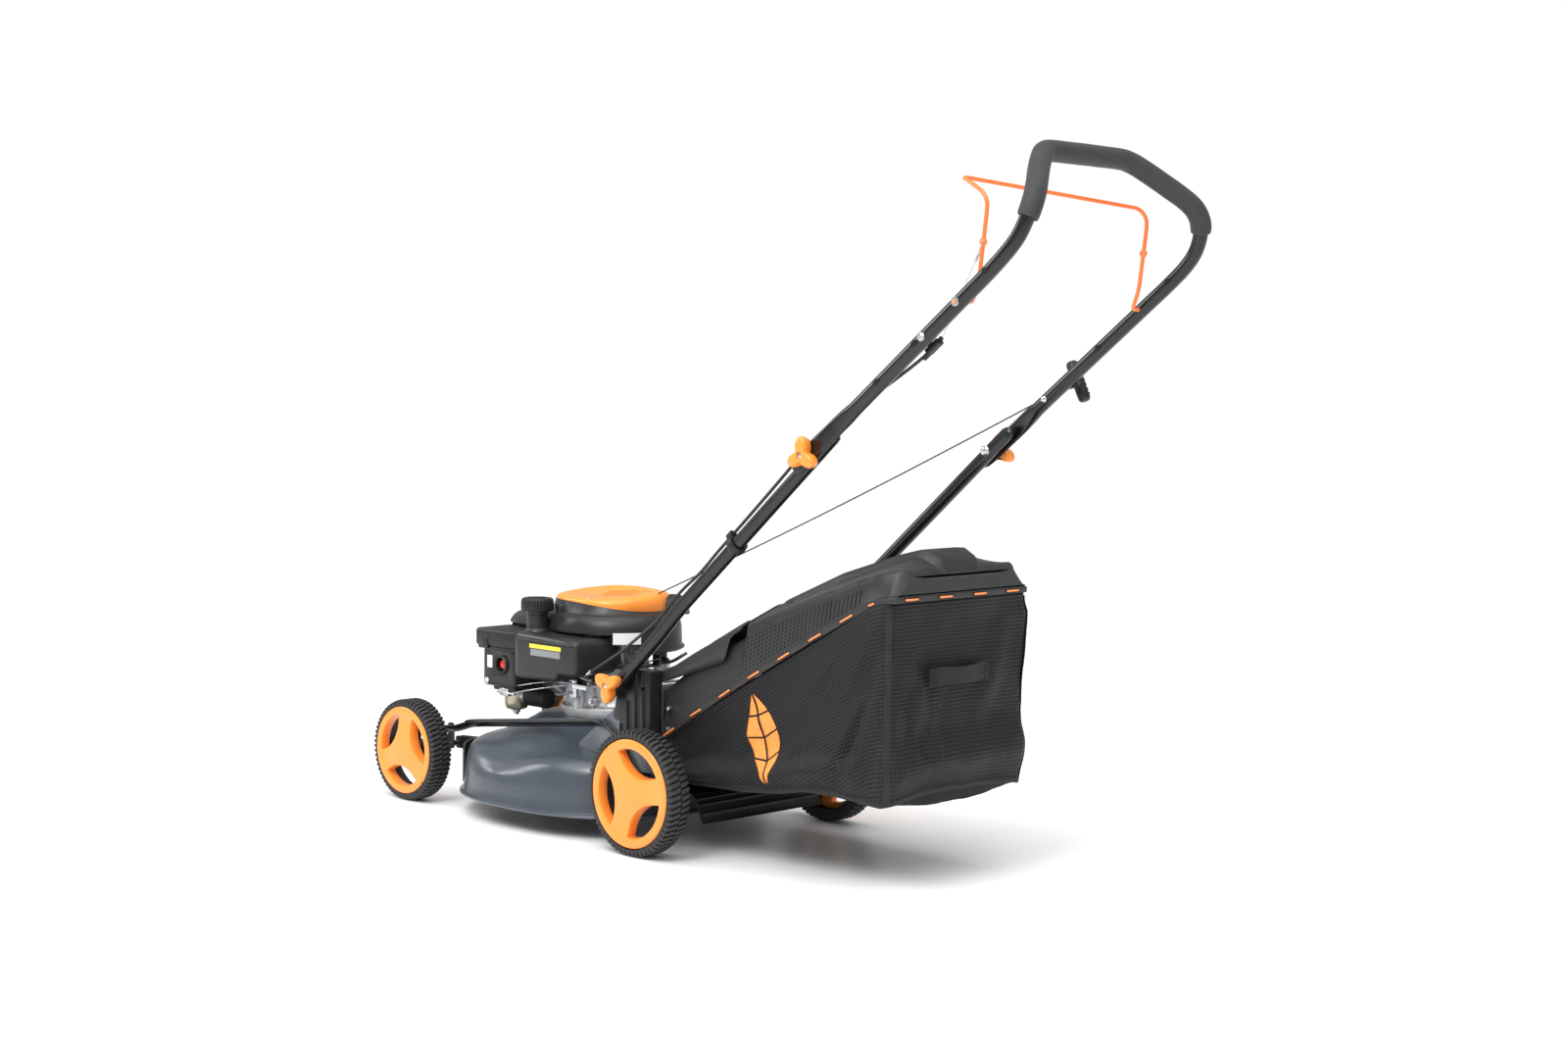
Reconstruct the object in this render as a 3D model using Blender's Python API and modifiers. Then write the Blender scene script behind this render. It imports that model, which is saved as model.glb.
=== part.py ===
"""Walk-behind petrol lawn mower with a steel deck, rear grass bag and folding handle.

Lengths are in metres.  +X is the mower's right, +Y its direction of travel, +Z up.
Lengths along Y are measured from the rear axle; the empty "mower_frame" then moves the
whole machine so that the world origin is on the ground at the centre of its footprint.
"""
import math

import bmesh
import bpy
from mathutils import Matrix, Vector

# ---------------------------------------------------------------- driving dimensions
ORIGIN_SHIFT = 0.022            # world Y of the rear axle
GAP = 0.0003                    # clearance between touching pieces
SHEET = 0.0025                  # wall of pressed and moulded shells

WHEELBASE = 0.6375
REAR_WHEEL_RADIUS = 0.1015
FRONT_WHEEL_RADIUS = 0.0905
REAR_HALF_TRACK = 0.2235
FRONT_HALF_TRACK = 0.1945
TYRE_WIDTH = 0.043
AXLE_RADIUS = 0.005
STUB_RADIUS = 0.006
CRANK_REACH = 0.048             # wheel centre to axle pivot, along Y
CRANK_RISE = 0.0105             # wheel centre to axle pivot, along Z
CRANK_HALF_SPAN = 0.150         # where the axle rod turns into its cranks
LINK_ARM = 0.030                # axle pivot to height link pin

DECK_HALF_WIDTH = 0.249
DECK_CENTRE_Y = 0.310           # also the crankshaft
DECK_LIP_Z = 0.036
DECK_TOP_Z = 0.176
DECK_SQUARENESS = 2.5           # superellipse exponent of the deck's plan

CHUTE_HALF_WIDTH = 0.163
CHUTE_REAR_Y = 0.012
CHUTE_FLOOR_Z = 0.120
CHUTE_ROOF_Z = 0.262
FLAP_HINGE = (0.028, 0.281)     # Y, Z of the rear flap's rod

TUBE_RADIUS = 0.011
LOWER_TUBE_X = 0.202
UPPER_TUBE_X = 0.214
LOWER_KNOB = (0.076, 0.2653)     # Y, Z
UPPER_KNOB = (-0.360, 0.6532)
LEG_ANGLE = math.radians(38.1)  # upper handle legs above horizontal
BAIL_PIVOT = (-0.645, 0.8767)
BAIL_X = 0.188
BAIL_RADIUS = 0.003
FOAM_RADIUS = 0.016

BLADE_LENGTH = 0.40
BLADE_Z = 0.055
BAG_REAR_Y = -0.480


# ---------------------------------------------------------------- scene and materials
for old in list(bpy.data.objects):
    bpy.data.objects.remove(old, do_unlink=True)

mower = bpy.data.collections.new("push_lawn_mower")
bpy.context.scene.collection.children.link(mower)
bench = bpy.data.collections.new("bench")
bpy.context.scene.collection.children.link(bench)

frame = bpy.data.objects.new("mower_frame", None)
frame.location = (0, ORIGIN_SHIFT, 0)
mower.objects.link(frame)


def material(name, colour, roughness, metallic=0.0):
    made = bpy.data.materials.new(name)
    made.use_nodes = True
    shader = made.node_tree.nodes["Principled BSDF"]
    shader.inputs["Base Color"].default_value = (*colour, 1)
    shader.inputs["Roughness"].default_value = roughness
    shader.inputs["Metallic"].default_value = metallic
    return made


DECK_PAINT = material("deck_paint", (0.13, 0.16, 0.19), 0.38, 0.2)
TUBE_PAINT = material("tube_paint", (0.018, 0.018, 0.02), 0.3)
BLACK_PLASTIC = material("black_plastic", (0.03, 0.03, 0.032), 0.5)
LID_PLASTIC = material("lid_plastic", (0.045, 0.047, 0.05), 0.5)
ORANGE = material("orange_plastic", (0.95, 0.32, 0.04), 0.35)
ORANGE_WIRE = material("orange_paint", (0.9, 0.22, 0.05), 0.35)
RUBBER = material("tyre_rubber", (0.025, 0.025, 0.027), 0.7)
FOAM = material("grip_foam", (0.06, 0.06, 0.065), 0.85)
ALUMINIUM = material("cast_aluminium", (0.55, 0.56, 0.58), 0.4, 1.0)
STEEL = material("zinc_steel", (0.6, 0.6, 0.62), 0.35, 1.0)
DARK_STEEL = material("dark_steel", (0.12, 0.12, 0.13), 0.45, 1.0)
FABRIC = material("bag_fabric", (0.02, 0.02, 0.022), 0.9)
RED_RUBBER = material("primer_rubber", (0.7, 0.03, 0.02), 0.4)
CABLE = material("cable_sheath", (0.02, 0.02, 0.02), 0.5)


# ---------------------------------------------------------------- raw shapes
def bench_object(bm, name="raw"):
    """A mesh on the bench, waiting to be joined, cut or kept."""
    bmesh.ops.recalc_face_normals(bm, faces=bm.faces[:])
    mesh = bpy.data.meshes.new(name)
    bm.to_mesh(mesh)
    bm.free()
    obj = bpy.data.objects.new(name, mesh)
    bench.objects.link(obj)
    return obj


def block(low, high, bevel=0.0, segments=1):
    """A box between two corners, its edges rounded by bevel."""
    bm = bmesh.new()
    bmesh.ops.create_cube(bm, size=1)
    size = Vector(high) - Vector(low)
    centre = (Vector(high) + Vector(low)) / 2
    bmesh.ops.transform(bm, verts=bm.verts, matrix=Matrix.Translation(centre) @ Matrix.Diagonal((*size, 1)))
    if bevel:
        bmesh.ops.bevel(bm, geom=bm.edges[:], offset=bevel, segments=segments, affect="EDGES")
    return bench_object(bm)


def rod(start, end, radius, sides=16, end_radius=None):
    """A cylinder or cone between two points."""
    start, end = Vector(start), Vector(end)
    axis = end - start
    bm = bmesh.new()
    bmesh.ops.create_cone(
        bm, cap_ends=True, segments=sides, radius1=radius, depth=axis.length,
        radius2=radius if end_radius is None else end_radius)
    turn = Vector((0, 0, 1)).rotation_difference(axis).to_matrix().to_4x4()
    bmesh.ops.transform(bm, verts=bm.verts, matrix=Matrix.Translation((start + end) / 2) @ turn)
    return bench_object(bm)


def baked(obj, weld=1e-6):
    """Turn an object with modifiers, or a curve, into a plain mesh on the bench."""
    bpy.context.view_layer.update()
    graph = bpy.context.evaluated_depsgraph_get()
    mesh = bpy.data.meshes.new_from_object(obj.evaluated_get(graph))
    bm = bmesh.new()
    bm.from_mesh(mesh)
    bm.transform(obj.matrix_world)
    bmesh.ops.remove_doubles(bm, verts=bm.verts[:], dist=weld)
    bpy.data.meshes.remove(mesh)
    bpy.data.objects.remove(obj)
    return bench_object(bm)


def pipe(points, radius, resolution=1):
    """A round tube or wire through points, with closed ends."""
    curve = bpy.data.curves.new("pipe", "CURVE")
    curve.dimensions = "3D"
    curve.bevel_depth = radius
    curve.bevel_resolution = resolution
    curve.use_fill_caps = True
    spline = curve.splines.new("POLY")
    spline.points.add(len(points) - 1)
    for point, place in zip(spline.points, points):
        point.co = (*place, 1)
    obj = bpy.data.objects.new("pipe", curve)
    bench.objects.link(obj)
    return baked(obj)


def plate(outline, low_x, high_x):
    """A flat (y, z) outline, extruded from low_x to high_x."""
    curve = bpy.data.curves.new("plate", "CURVE")
    curve.dimensions = "2D"
    curve.fill_mode = "BOTH"
    curve.extrude = abs(high_x - low_x) / 2
    spline = curve.splines.new("POLY")
    spline.points.add(len(outline) - 1)
    spline.use_cyclic_u = True
    for point, (y, z) in zip(spline.points, outline):
        point.co = (y, z, 0, 1)
    obj = bpy.data.objects.new("plate", curve)
    bench.objects.link(obj)
    # local x -> world y, local y -> world z, local z -> world x
    obj.matrix_world = Matrix((
        (0, 0, 1, (low_x + high_x) / 2), (1, 0, 0, 0), (0, 1, 0, 0), (0, 0, 0, 1)))
    return baked(obj)


def turned(profile, centre, axis="Z", steps=32):
    """A solid of revolution from (radius, height) points; its outer side runs downwards."""
    bm = bmesh.new()
    verts = [bm.verts.new((radius, 0, height)) for radius, height in profile]
    for first, second in zip(verts, verts[1:]):
        bm.edges.new((first, second))
    if profile[0][0] > 0:
        bm.edges.new((verts[-1], verts[0]))
    mesh = bpy.data.meshes.new("turned")
    bm.to_mesh(mesh)
    bm.free()
    obj = bpy.data.objects.new("turned", mesh)
    bench.objects.link(obj)
    screw = obj.modifiers.new("Screw", "SCREW")
    screw.steps = screw.render_steps = steps
    screw.use_merge_vertices = True
    screw.merge_threshold = 1e-5
    turn = {"Z": Matrix(), "X": Matrix.Rotation(math.pi / 2, 4, "Y"),
            "Y": Matrix.Rotation(-math.pi / 2, 4, "X")}[axis]
    obj.matrix_world = Matrix.Translation(centre) @ turn
    return baked(obj, weld=1e-5)


def loft(rings):
    """A closed solid through rings of equally many points."""
    bm = bmesh.new()
    rows = [[bm.verts.new(point) for point in ring] for ring in rings]
    count = len(rings[0])
    for low, high in zip(rows, rows[1:]):
        for i in range(count):
            j = (i + 1) % count
            bm.faces.new((low[i], low[j], high[j], high[i]))
    bm.faces.new(rows[0])
    bm.faces.new(rows[-1])
    return bench_object(bm)


def combine(first, add=(), cut=()):
    """Join shapes to the first one and cut others out of it, leaving one mesh."""
    for operation, others in (("UNION", add), ("DIFFERENCE", cut)):
        for other in others:
            boolean = first.modifiers.new(operation, "BOOLEAN")
            boolean.operation = operation
            boolean.object = other
    result = baked(first)
    for other in (*add, *cut):
        bpy.data.objects.remove(other)
    return result


def mirrored(points):
    return [(-x, y, z) for x, y, z in points]


def keep(obj, name, look, pivot=None, bevel=0.0, smooth=35):
    """Name a finished piece, give it its material and hang it in the mower's frame."""
    bench.objects.unlink(obj)
    mower.objects.link(obj)
    obj.name = obj.data.name = name
    obj.data.materials.append(look)
    if bevel:
        edges = obj.modifiers.new("Bevel", "BEVEL")
        edges.width = bevel
        edges.segments = 1
        edges.limit_method = "ANGLE"
        edges.angle_limit = math.radians(50)
    obj.data.shade_smooth()
    obj.data.set_sharp_from_angle(angle=math.radians(smooth))
    if pivot is not None:
        obj.data.transform(Matrix.Translation(-Vector(pivot)))
        obj.location = pivot
    obj.parent = frame
    return obj


# ---------------------------------------------------------------- deck
def superellipse(half_width, z, sides=24):
    """One level of the deck's rounded plan."""
    half_length = half_width + 0.001
    ring = []
    for i in range(sides):
        angle = 2 * math.pi * (i + 0.5) / sides
        c, s = math.cos(angle), math.sin(angle)
        x = half_width * math.copysign(abs(c) ** (2 / DECK_SQUARENESS), c)
        y = half_length * math.copysign(abs(s) ** (2 / DECK_SQUARENESS), s)
        ring.append((x, DECK_CENTRE_Y + y, z))
    return ring


DECK_LEVELS = (                  # half width, height: lip bead, skirt, shoulder, top
    (0.253, 0.036), (0.253, 0.042), (0.2465, 0.047), (0.243, 0.085), (0.240, 0.108), (0.231, 0.122),
    (0.212, 0.131), (0.186, 0.140), (0.145, 0.160), (0.115, DECK_TOP_Z))


def deck_solid(offset, low=0.0):
    """The deck's filled shape, grown by offset; low extends it below its lip."""
    levels = [(half + offset, z + (offset if z > 0.1 else 0)) for half, z in DECK_LEVELS]
    if low:
        levels[0] = (levels[0][0], levels[0][1] - low)
    return loft([superellipse(half, z) for half, z in levels])


def chute_outline(wall):
    rear = CHUTE_REAR_Y if wall == 0 else CHUTE_REAR_Y - 0.02
    return [(rear, CHUTE_FLOOR_Z + wall), (0.215, CHUTE_FLOOR_Z + wall), (0.215, 0.150 - wall),
            (0.185, 0.174 - wall), (0.065, CHUTE_ROOF_Z - wall), (rear, CHUTE_ROOF_Z - wall)]


def axle_pivot(front):
    """Y and Z of an axle rod's own axis, which its cranks turn about."""
    if front:
        return WHEELBASE - CRANK_REACH, FRONT_WHEEL_RADIUS + CRANK_RISE
    return CRANK_REACH, REAR_WHEEL_RADIUS + CRANK_RISE


def make_deck():
    shell = combine(deck_solid(0), add=[plate(chute_outline(0), -CHUTE_HALF_WIDTH, CHUTE_HALF_WIDTH)])
    inside = combine(
        deck_solid(-SHEET, low=0.02),
        add=[plate(chute_outline(SHEET), SHEET - CHUTE_HALF_WIDTH, CHUTE_HALF_WIDTH - SHEET)])
    pivot_y, pivot_z = axle_pivot(front=False)
    saddles = [block((side * 0.125 - 0.006, pivot_y - 0.011, pivot_z - 0.010),
                     (side * 0.125 + 0.006, pivot_y + 0.011, CHUTE_FLOOR_Z + 0.001)) for side in (-1, 1)]
    bores = [rod((-0.2, pivot_y, pivot_z), (0.2, pivot_y, pivot_z), AXLE_RADIUS + GAP),
             rod((0, DECK_CENTRE_Y, 0.15), (0, DECK_CENTRE_Y, 0.19), 0.030, 24)]
    shell = combine(shell, cut=[inside])
    keep(combine(shell, add=saddles, cut=bores), "deck", DECK_PAINT)


def make_grass_comb():
    pivot_y, pivot_z = axle_pivot(front=True)
    saddles = [block((side * 0.120 - 0.008, pivot_y - 0.06, pivot_z - 0.012),
                     (side * 0.120 + 0.008, pivot_y + 0.010, pivot_z + 0.012)) for side in (-1, 1)]
    band = combine(deck_solid(0.0045), add=saddles, cut=[deck_solid(GAP, low=0.01)])
    teeth = [block((x - 0.006, 0.40, 0.02), (x + 0.006, 0.70, 0.060)) for x in
             [(i - 5) * 0.0285 for i in range(11)]]
    off = [block((-0.3, 0.0, 0.0), (0.3, 0.470, 0.2)), block((-0.3, 0.3, 0.118), (0.3, 0.7, 0.3)),
           block((-0.3, 0.3, 0.0), (0.3, 0.7, 0.050))]
    bore = rod((-0.2, pivot_y, pivot_z), (0.2, pivot_y, pivot_z), AXLE_RADIUS + GAP)
    keep(combine(band, cut=[*off, *teeth, bore]), "grass_comb", BLACK_PLASTIC)


def make_handle_brackets():
    outline = [(0.012, 0.176), (0.085, 0.176), (0.085, 0.204), (0.100, 0.206), (0.100, 0.216),
               (0.093, 0.240), (0.096, 0.262), (0.086, 0.274), (0.066, 0.274), (0.048, 0.292), (0.012, 0.292)]
    for side, word in ((-1, "left"), (1, "right")):
        inner, outer = side * (CHUTE_HALF_WIDTH + GAP), side * 0.190
        body = plate(outline, min(inner, outer), max(inner, outer))
        bores = [rod((side * 0.155, *FLAP_HINGE), (side * 0.186, *FLAP_HINGE), 0.003 + GAP),
                 rod((side * 0.170, *LOWER_KNOB), (side * 0.2, *LOWER_KNOB), 0.004 + GAP)]
        ribs = [block((min(outer, side * 0.188), y, 0.215), (max(outer, side * 0.188) + 0.001, y + 0.003, 0.232))
                for y in (0.030, 0.055)]
        keep(combine(body, cut=[*bores, *ribs]), "handle_bracket_" + word, BLACK_PLASTIC)


# ---------------------------------------------------------------- wheels and height adjustment
def make_wheel(side, front):
    word = ("front" if front else "rear") + ("_left" if side < 0 else "_right")
    radius = FRONT_WHEEL_RADIUS if front else REAR_WHEEL_RADIUS
    centre = Vector((side * (FRONT_HALF_TRACK if front else REAR_HALF_TRACK), WHEELBASE if front else 0, radius))
    half = TYRE_WIDTH / 2
    seat = 0.885 * radius
    # heights are along the axle, positive towards the mower's outside
    profile = [(seat, half), (radius - 0.005, half), (radius, half - 0.006), (radius, 0.006 - half),
               (radius - 0.005, -half), (0.80 * radius, -half), (0.80 * radius, 0.004), (seat, 0.004)]
    if side < 0:
        profile = [(r, -h) for r, h in reversed(profile)]
    tyre = turned(profile, centre, "X", 20)
    inward = -side
    hub = rod(centre + Vector((inward * 0.024, 0, 0)), centre - Vector((inward * 0.004, 0, 0)), 0.015, 10)
    spokes = []
    for k in range(3):
        angle = math.radians(120 * k + 20)
        arm = Vector((0, math.cos(angle), math.sin(angle)))
        base = centre + Vector((inward * 0.010, 0, 0))
        spokes.append(rod(base, base + arm * 0.82 * radius, 0.007, 5))
    bore = rod(centre + Vector((inward * 0.03, 0, 0)), centre - Vector((inward * 0.03, 0, 0)), STUB_RADIUS + GAP)
    keep(combine(tyre, add=[hub, *spokes], cut=[bore]), "wheel_" + word, RUBBER, pivot=centre)

    rim = 0.87 * radius
    face = half + 0.002
    dish = [(0, face + 0.001), (rim * 0.45, face + 0.001), (rim * 0.85, face - 0.001), (rim, face - 0.004),
            (rim, half - 0.012), (rim * 0.5, half - 0.010), (0, half - 0.010)]
    if side < 0:
        dish = [(r, -h) for r, h in reversed(dish)]
    cover = turned(dish, centre, "X", 20)
    holes = []
    for k in range(3):
        angle = math.radians(120 * k + (36 if front else -10))
        arm = Vector((0, math.cos(angle), math.sin(angle)))
        across = Vector((0, -math.sin(angle), math.cos(angle)))
        ring = []
        for i in range(8):
            t = 2 * math.pi * i / 8
            bow = 0.60 + 0.17 * math.cos(t) - 0.16 * math.sin(t) ** 2
            ring.append(centre + arm * rim * bow + across * rim * 0.50 * math.sin(t))
        holes.append(loft([[p + Vector((side * h, 0, 0)) for p in ring] for h in (0.0, 0.04)]))
    keep(combine(cover, cut=holes), "wheel_cover_" + word, ORANGE, pivot=centre)


def crank_rod(front):
    """Bent rod: stub axle, crank, pivot length, crank, stub axle."""
    radius = FRONT_WHEEL_RADIUS if front else REAR_WHEEL_RADIUS
    wheel_y = WHEELBASE if front else 0
    pivot_y, pivot_z = axle_pivot(front)
    half_track = FRONT_HALF_TRACK if front else REAR_HALF_TRACK
    stub_in, stub_out = CRANK_HALF_SPAN + 0.012, half_track + 0.0025
    inner = CRANK_HALF_SPAN - 0.004
    return [(-stub_out, wheel_y, radius), (-stub_in, wheel_y, radius), (-inner, pivot_y, pivot_z),
            (inner, pivot_y, pivot_z), (stub_in, wheel_y, radius), (stub_out, wheel_y, radius)]


def strip(points, width):
    """Outline of a flat bar of constant width along a (y, z) centre line."""
    left, right = [], []
    for i, (y, z) in enumerate(points):
        before = Vector(points[max(i - 1, 0)])
        after = Vector(points[min(i + 1, len(points) - 1)])
        along = (after - before).normalized()
        left.append((y - along.y * width / 2, z + along.x * width / 2))
        right.append((y + along.y * width / 2, z - along.x * width / 2))
    return left + right[::-1]


def make_axles():
    for front, word in ((True, "front_axle"), (False, "rear_axle")):
        points = crank_rod(front)
        pivot_y, pivot_z = axle_pivot(front)
        pieces = [rod(points[0], points[1], STUB_RADIUS, 12), rod(points[4], points[5], STUB_RADIUS, 12)]
        pin_z = pivot_z + (LINK_ARM if front else -LINK_ARM)
        pieces.append(plate(strip([(pivot_y, pivot_z), (pivot_y, pin_z)], 0.016), -0.146, -0.143))
        pieces.append(rod((-0.1635, pivot_y, pin_z), (-0.144, pivot_y, pin_z), 0.004, 10))
        if front:
            lever = [(pivot_y, pivot_z), (pivot_y - 0.012, pivot_z + 0.05), (pivot_y - 0.05, pivot_z + 0.135)]
            pieces.append(plate(strip(lever, 0.016), 0.141, 0.145))
            knob = (lever[-1][0], lever[-1][1])
            pieces.append(rod((0.139, *knob), (0.178, *knob), 0.011, 14))
        keep(combine(pipe(points, AXLE_RADIUS), add=pieces), word, DARK_STEEL, pivot=(0, pivot_y, pivot_z))


def make_height_link():
    front_y, front_z = axle_pivot(True)
    rear_y, rear_z = axle_pivot(False)
    line = [(front_y, front_z + LINK_ARM), (0.552, 0.1335), (0.505, 0.148), (0.484, 0.151), (0.165, 0.189),
            (0.145, 0.186), (0.112, 0.165), (rear_y, rear_z - LINK_ARM)]
    bar = plate(strip(line, 0.014), -0.1685, -0.1645)
    keep(bar, "height_link", TUBE_PAINT, pivot=(-0.1665, *line[0]), bevel=0.0006)


def make_height_spring():
    ends = ((-0.1545, 0.440, 0.152), (-0.1545, 0.285, 0.172))
    keep(rod(*ends, 0.004, 10), "height_spring", STEEL)


# ---------------------------------------------------------------- blade drive
def make_blade_drive():
    axis = (0, DECK_CENTRE_Y)
    keep(rod((*axis, 0.070), (*axis, 0.348), 0.0125, 20), "crankshaft", STEEL)
    hub = turned([(0.0128, 0.105), (0.020, 0.105), (0.022, 0.075), (0.031, 0.068), (0.031, BLADE_Z + 0.0038),
                  (0.0054, BLADE_Z + 0.0038), (0.0054, 0.0695), (0.0128, 0.0695)], (*axis, 0), steps=16)
    keep(hub, "blade_hub", DARK_STEEL)
    half = BLADE_LENGTH / 2
    bar = block((-half, DECK_CENTRE_Y - 0.0225, BLADE_Z), (half, DECK_CENTRE_Y + 0.0225, BLADE_Z + 0.0035))
    wings = []
    for side in (-1, 1):
        trailing = DECK_CENTRE_Y - side * 0.0225
        low = [(side * x, trailing - side * 0.001, BLADE_Z) for x in (half - 0.06, half)]
        wing = [low[0], low[1], (side * half, trailing + side * 0.010, BLADE_Z + 0.0035),
                (side * (half - 0.06), trailing + side * 0.010, BLADE_Z + 0.0035)]
        wings.append(loft([wing, [(x, y - side * 0.006, z + 0.014) for x, y, z in wing]]))
    hole = rod((*axis, 0.04), (*axis, 0.08), 0.0055)
    keep(combine(bar, add=wings, cut=[hole]), "cutting_blade", DARK_STEEL)
    bolt = combine(rod((*axis, 0.045), (*axis, BLADE_Z - GAP), 0.012, 6),
                   add=[rod((*axis, 0.050), (*axis, 0.0685), 0.005, 12)])
    keep(bolt, "blade_bolt", STEEL)
    wheel = turned([(0.0129, 0.345), (0.030, 0.345), (0.034, 0.338), (0.080, 0.338), (0.088, 0.344),
                    (0.092, 0.344), (0.092, 0.322), (0.0129, 0.322)], (*axis, 0), steps=20)
    keep(wheel, "flywheel", ALUMINIUM)


# ---------------------------------------------------------------- engine
def make_crankcase():
    axis = (0, DECK_CENTRE_Y)
    base = DECK_TOP_Z + GAP
    body = turned([(0, 0.262), (0.050, 0.262), (0.054, 0.240), (0.078, 0.238), (0.082, 0.196),
                   (0.094, 0.192), (0.094, base), (0, base)], (*axis, 0), steps=20)
    bosses = []
    for k in range(6):
        angle = math.radians(60 * k)
        x, y = 0.086 * math.cos(angle), DECK_CENTRE_Y + 0.086 * math.sin(angle)
        bosses.append(rod((x, y, base), (x, y, 0.214), 0.010, 6))
    neck = block((-0.040, 0.380, 0.200), (0.040, 0.402, 0.258))
    filler = rod((0.060, 0.256, 0.200), (0.060, 0.256, 0.262), 0.013, 14)
    bore = rod((*axis, 0.17), (*axis, 0.27), 0.0129, 20)
    keep(combine(body, add=[*bosses, neck, filler], cut=[bore]), "engine_crankcase", ALUMINIUM)


def make_cylinder():
    core = block((-0.032, 0.4025, 0.205), (0.032, 0.498, 0.280), 0.004)
    fins = [block((-0.054, 0.410 + 0.0125 * k, 0.198), (0.054, 0.413 + 0.0125 * k, 0.287)) for k in range(7)]
    plug_bore = rod((0.018, 0.480, 0.245), (0.018, 0.52, 0.245), 0.0065, 12)
    keep(combine(core, add=fins, cut=[plug_bore]), "engine_cylinder", ALUMINIUM)
    plug = combine(rod((0.018, 0.484, 0.245), (0.018, 0.515, 0.245), 0.006, 12),
                   add=[rod((0.018, 0.500, 0.245), (0.018, 0.511, 0.245), 0.0105, 6),
                        rod((0.018, 0.5105, 0.245), (0.018, 0.534, 0.245), 0.0095, 14),
                        rod((0.018, 0.527, 0.245), (0.018, 0.527, 0.268), 0.0085, 12)])
    keep(plug, "spark_plug", BLACK_PLASTIC)


def make_muffler():
    can = block((0.078, 0.400, 0.200), (0.166, 0.500, 0.276), 0.012, 3)
    pipe_in = rod((0.0545, 0.4445, 0.242), (0.085, 0.4445, 0.242), 0.012, 14)
    slots = [block((0.160, 0.418 + 0.012 * k, 0.215), (0.170, 0.424 + 0.012 * k, 0.260)) for k in range(6)]
    keep(combine(can, add=[pipe_in], cut=slots), "muffler", DARK_STEEL)


def shroud_levels(offset):
    """Blower housing: a drum over the flywheel with a hood forward over the cylinder."""
    drum = turned([(0, 0.356 + offset), (0.092 + offset, 0.356 + offset), (0.110 + offset, 0.344 + offset),
                   (0.1165 + offset, 0.326), (0.118 + offset, 0.290 - 9 * abs(offset)),
                   (0, 0.290 - 9 * abs(offset))], (0, DECK_CENTRE_Y, 0), steps=24)
    rings = []
    for y, half, low, high in ((0.33, 0.100, 0.290, 0.354), (0.42, 0.092, 0.290, 0.352),
                               (0.49, 0.084, 0.290, 0.345), (0.515, 0.076, 0.290, 0.337),
                               (0.530, 0.066, 0.290, 0.322)):
        half, low, high = half + offset, low - 9 * abs(offset), high + offset
        y += offset if y > 0.5 else 0
        rings.append([(-half, y, low), (half, y, low), (half, y, high - 0.016),
                      (half - 0.020, y, high), (0.020 - half, y, high), (-half, y, high - 0.016)])
    return combine(drum, add=[loft(rings)])


def make_shroud():
    tank_side = block((-0.2, 0.215, 0.2), (-0.0585, 0.60, 0.3240))
    eye = rod((0, DECK_CENTRE_Y, 0.34), (0, DECK_CENTRE_Y, 0.37), 0.055, 24)
    keep(combine(shroud_levels(0), cut=[shroud_levels(-0.003), tank_side, eye]), "engine_shroud", BLACK_PLASTIC)


def make_recoil_starter():
    centre = (-0.005, DECK_CENTRE_Y + 0.008, 0)
    post = rod((0, DECK_CENTRE_Y, 0.352), (0, DECK_CENTRE_Y, 0.391), 0.0055, 12)
    outer = turned([(0, 0.393), (0.058, 0.391), (0.080, 0.384), (0.092, 0.370), (0.095, 0.3565),
                    (0.0925, 0.3565), (0.0895, 0.369), (0.078, 0.3815), (0.057, 0.3885), (0, 0.3905)],
                   centre, steps=20)
    slots = []
    for k in range(3):
        x = 0.004 + 0.020 * k
        slots.append(block((x, DECK_CENTRE_Y - 0.050, 0.380), (x + 0.007, DECK_CENTRE_Y - 0.004, 0.40)))
    rope_hole = rod((0.030, 0.262, 0.3705), (0.048, 0.202, 0.4015), 0.006, 12)
    keep(combine(outer, add=[post], cut=[*slots, rope_hole]), "recoil_cover", ORANGE)
    pulley = turned([(0.0060, 0.374), (0.052, 0.374), (0.052, 0.371), (0.045, 0.3675), (0.052, 0.364),
                     (0.052, 0.361), (0.0060, 0.361)], (0, DECK_CENTRE_Y, 0), steps=16)
    keep(pulley, "recoil_pulley", BLACK_PLASTIC, pivot=(0, DECK_CENTRE_Y, 0.366))


def make_fuel_tank():
    rings = []
    for y, low, high in ((0.236, 0.262, 0.310), (0.242, 0.256, 0.316), (0.285, 0.254, 0.319),
                         (0.290, 0.243, 0.319), (0.396, 0.239, 0.322), (0.402, 0.243, 0.317)):
        edge = 0.006 if 0.24 < y < 0.40 else 0.010
        rings.append([(-0.155 + edge, y, low), (-0.0620, y, low), (-0.0620, y, high - 0.002),
                      (-0.100, y, high), (-0.148, y, high - 0.003), (-0.155, y, high - 0.010),
                      (-0.156, y, low + 0.012)])
    neck = rod((-0.120, 0.380, 0.300), (-0.120, 0.380, 0.3495), 0.0175, 18)
    keep(combine(loft(rings), add=[neck]), "fuel_tank", BLACK_PLASTIC, bevel=0.002)
    knurls = []
    for k in range(32):
        radius = 0.0285 if k % 2 else 0.0270
        angle = 2 * math.pi * k / 32
        knurls.append((-0.120 + radius * math.cos(angle), 0.380 + radius * math.sin(angle)))
    cap = loft([[(x, y, z) for x, y in knurls] for z in (0.3570, 0.3750)])
    top = rod((-0.120, 0.380, 0.3745), (-0.120, 0.380, 0.3785), 0.024, 24, 0.020)
    keep(combine(cap, add=[top]), "fuel_cap", BLACK_PLASTIC, pivot=(-0.120, 0.380, 0.3665))


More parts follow.
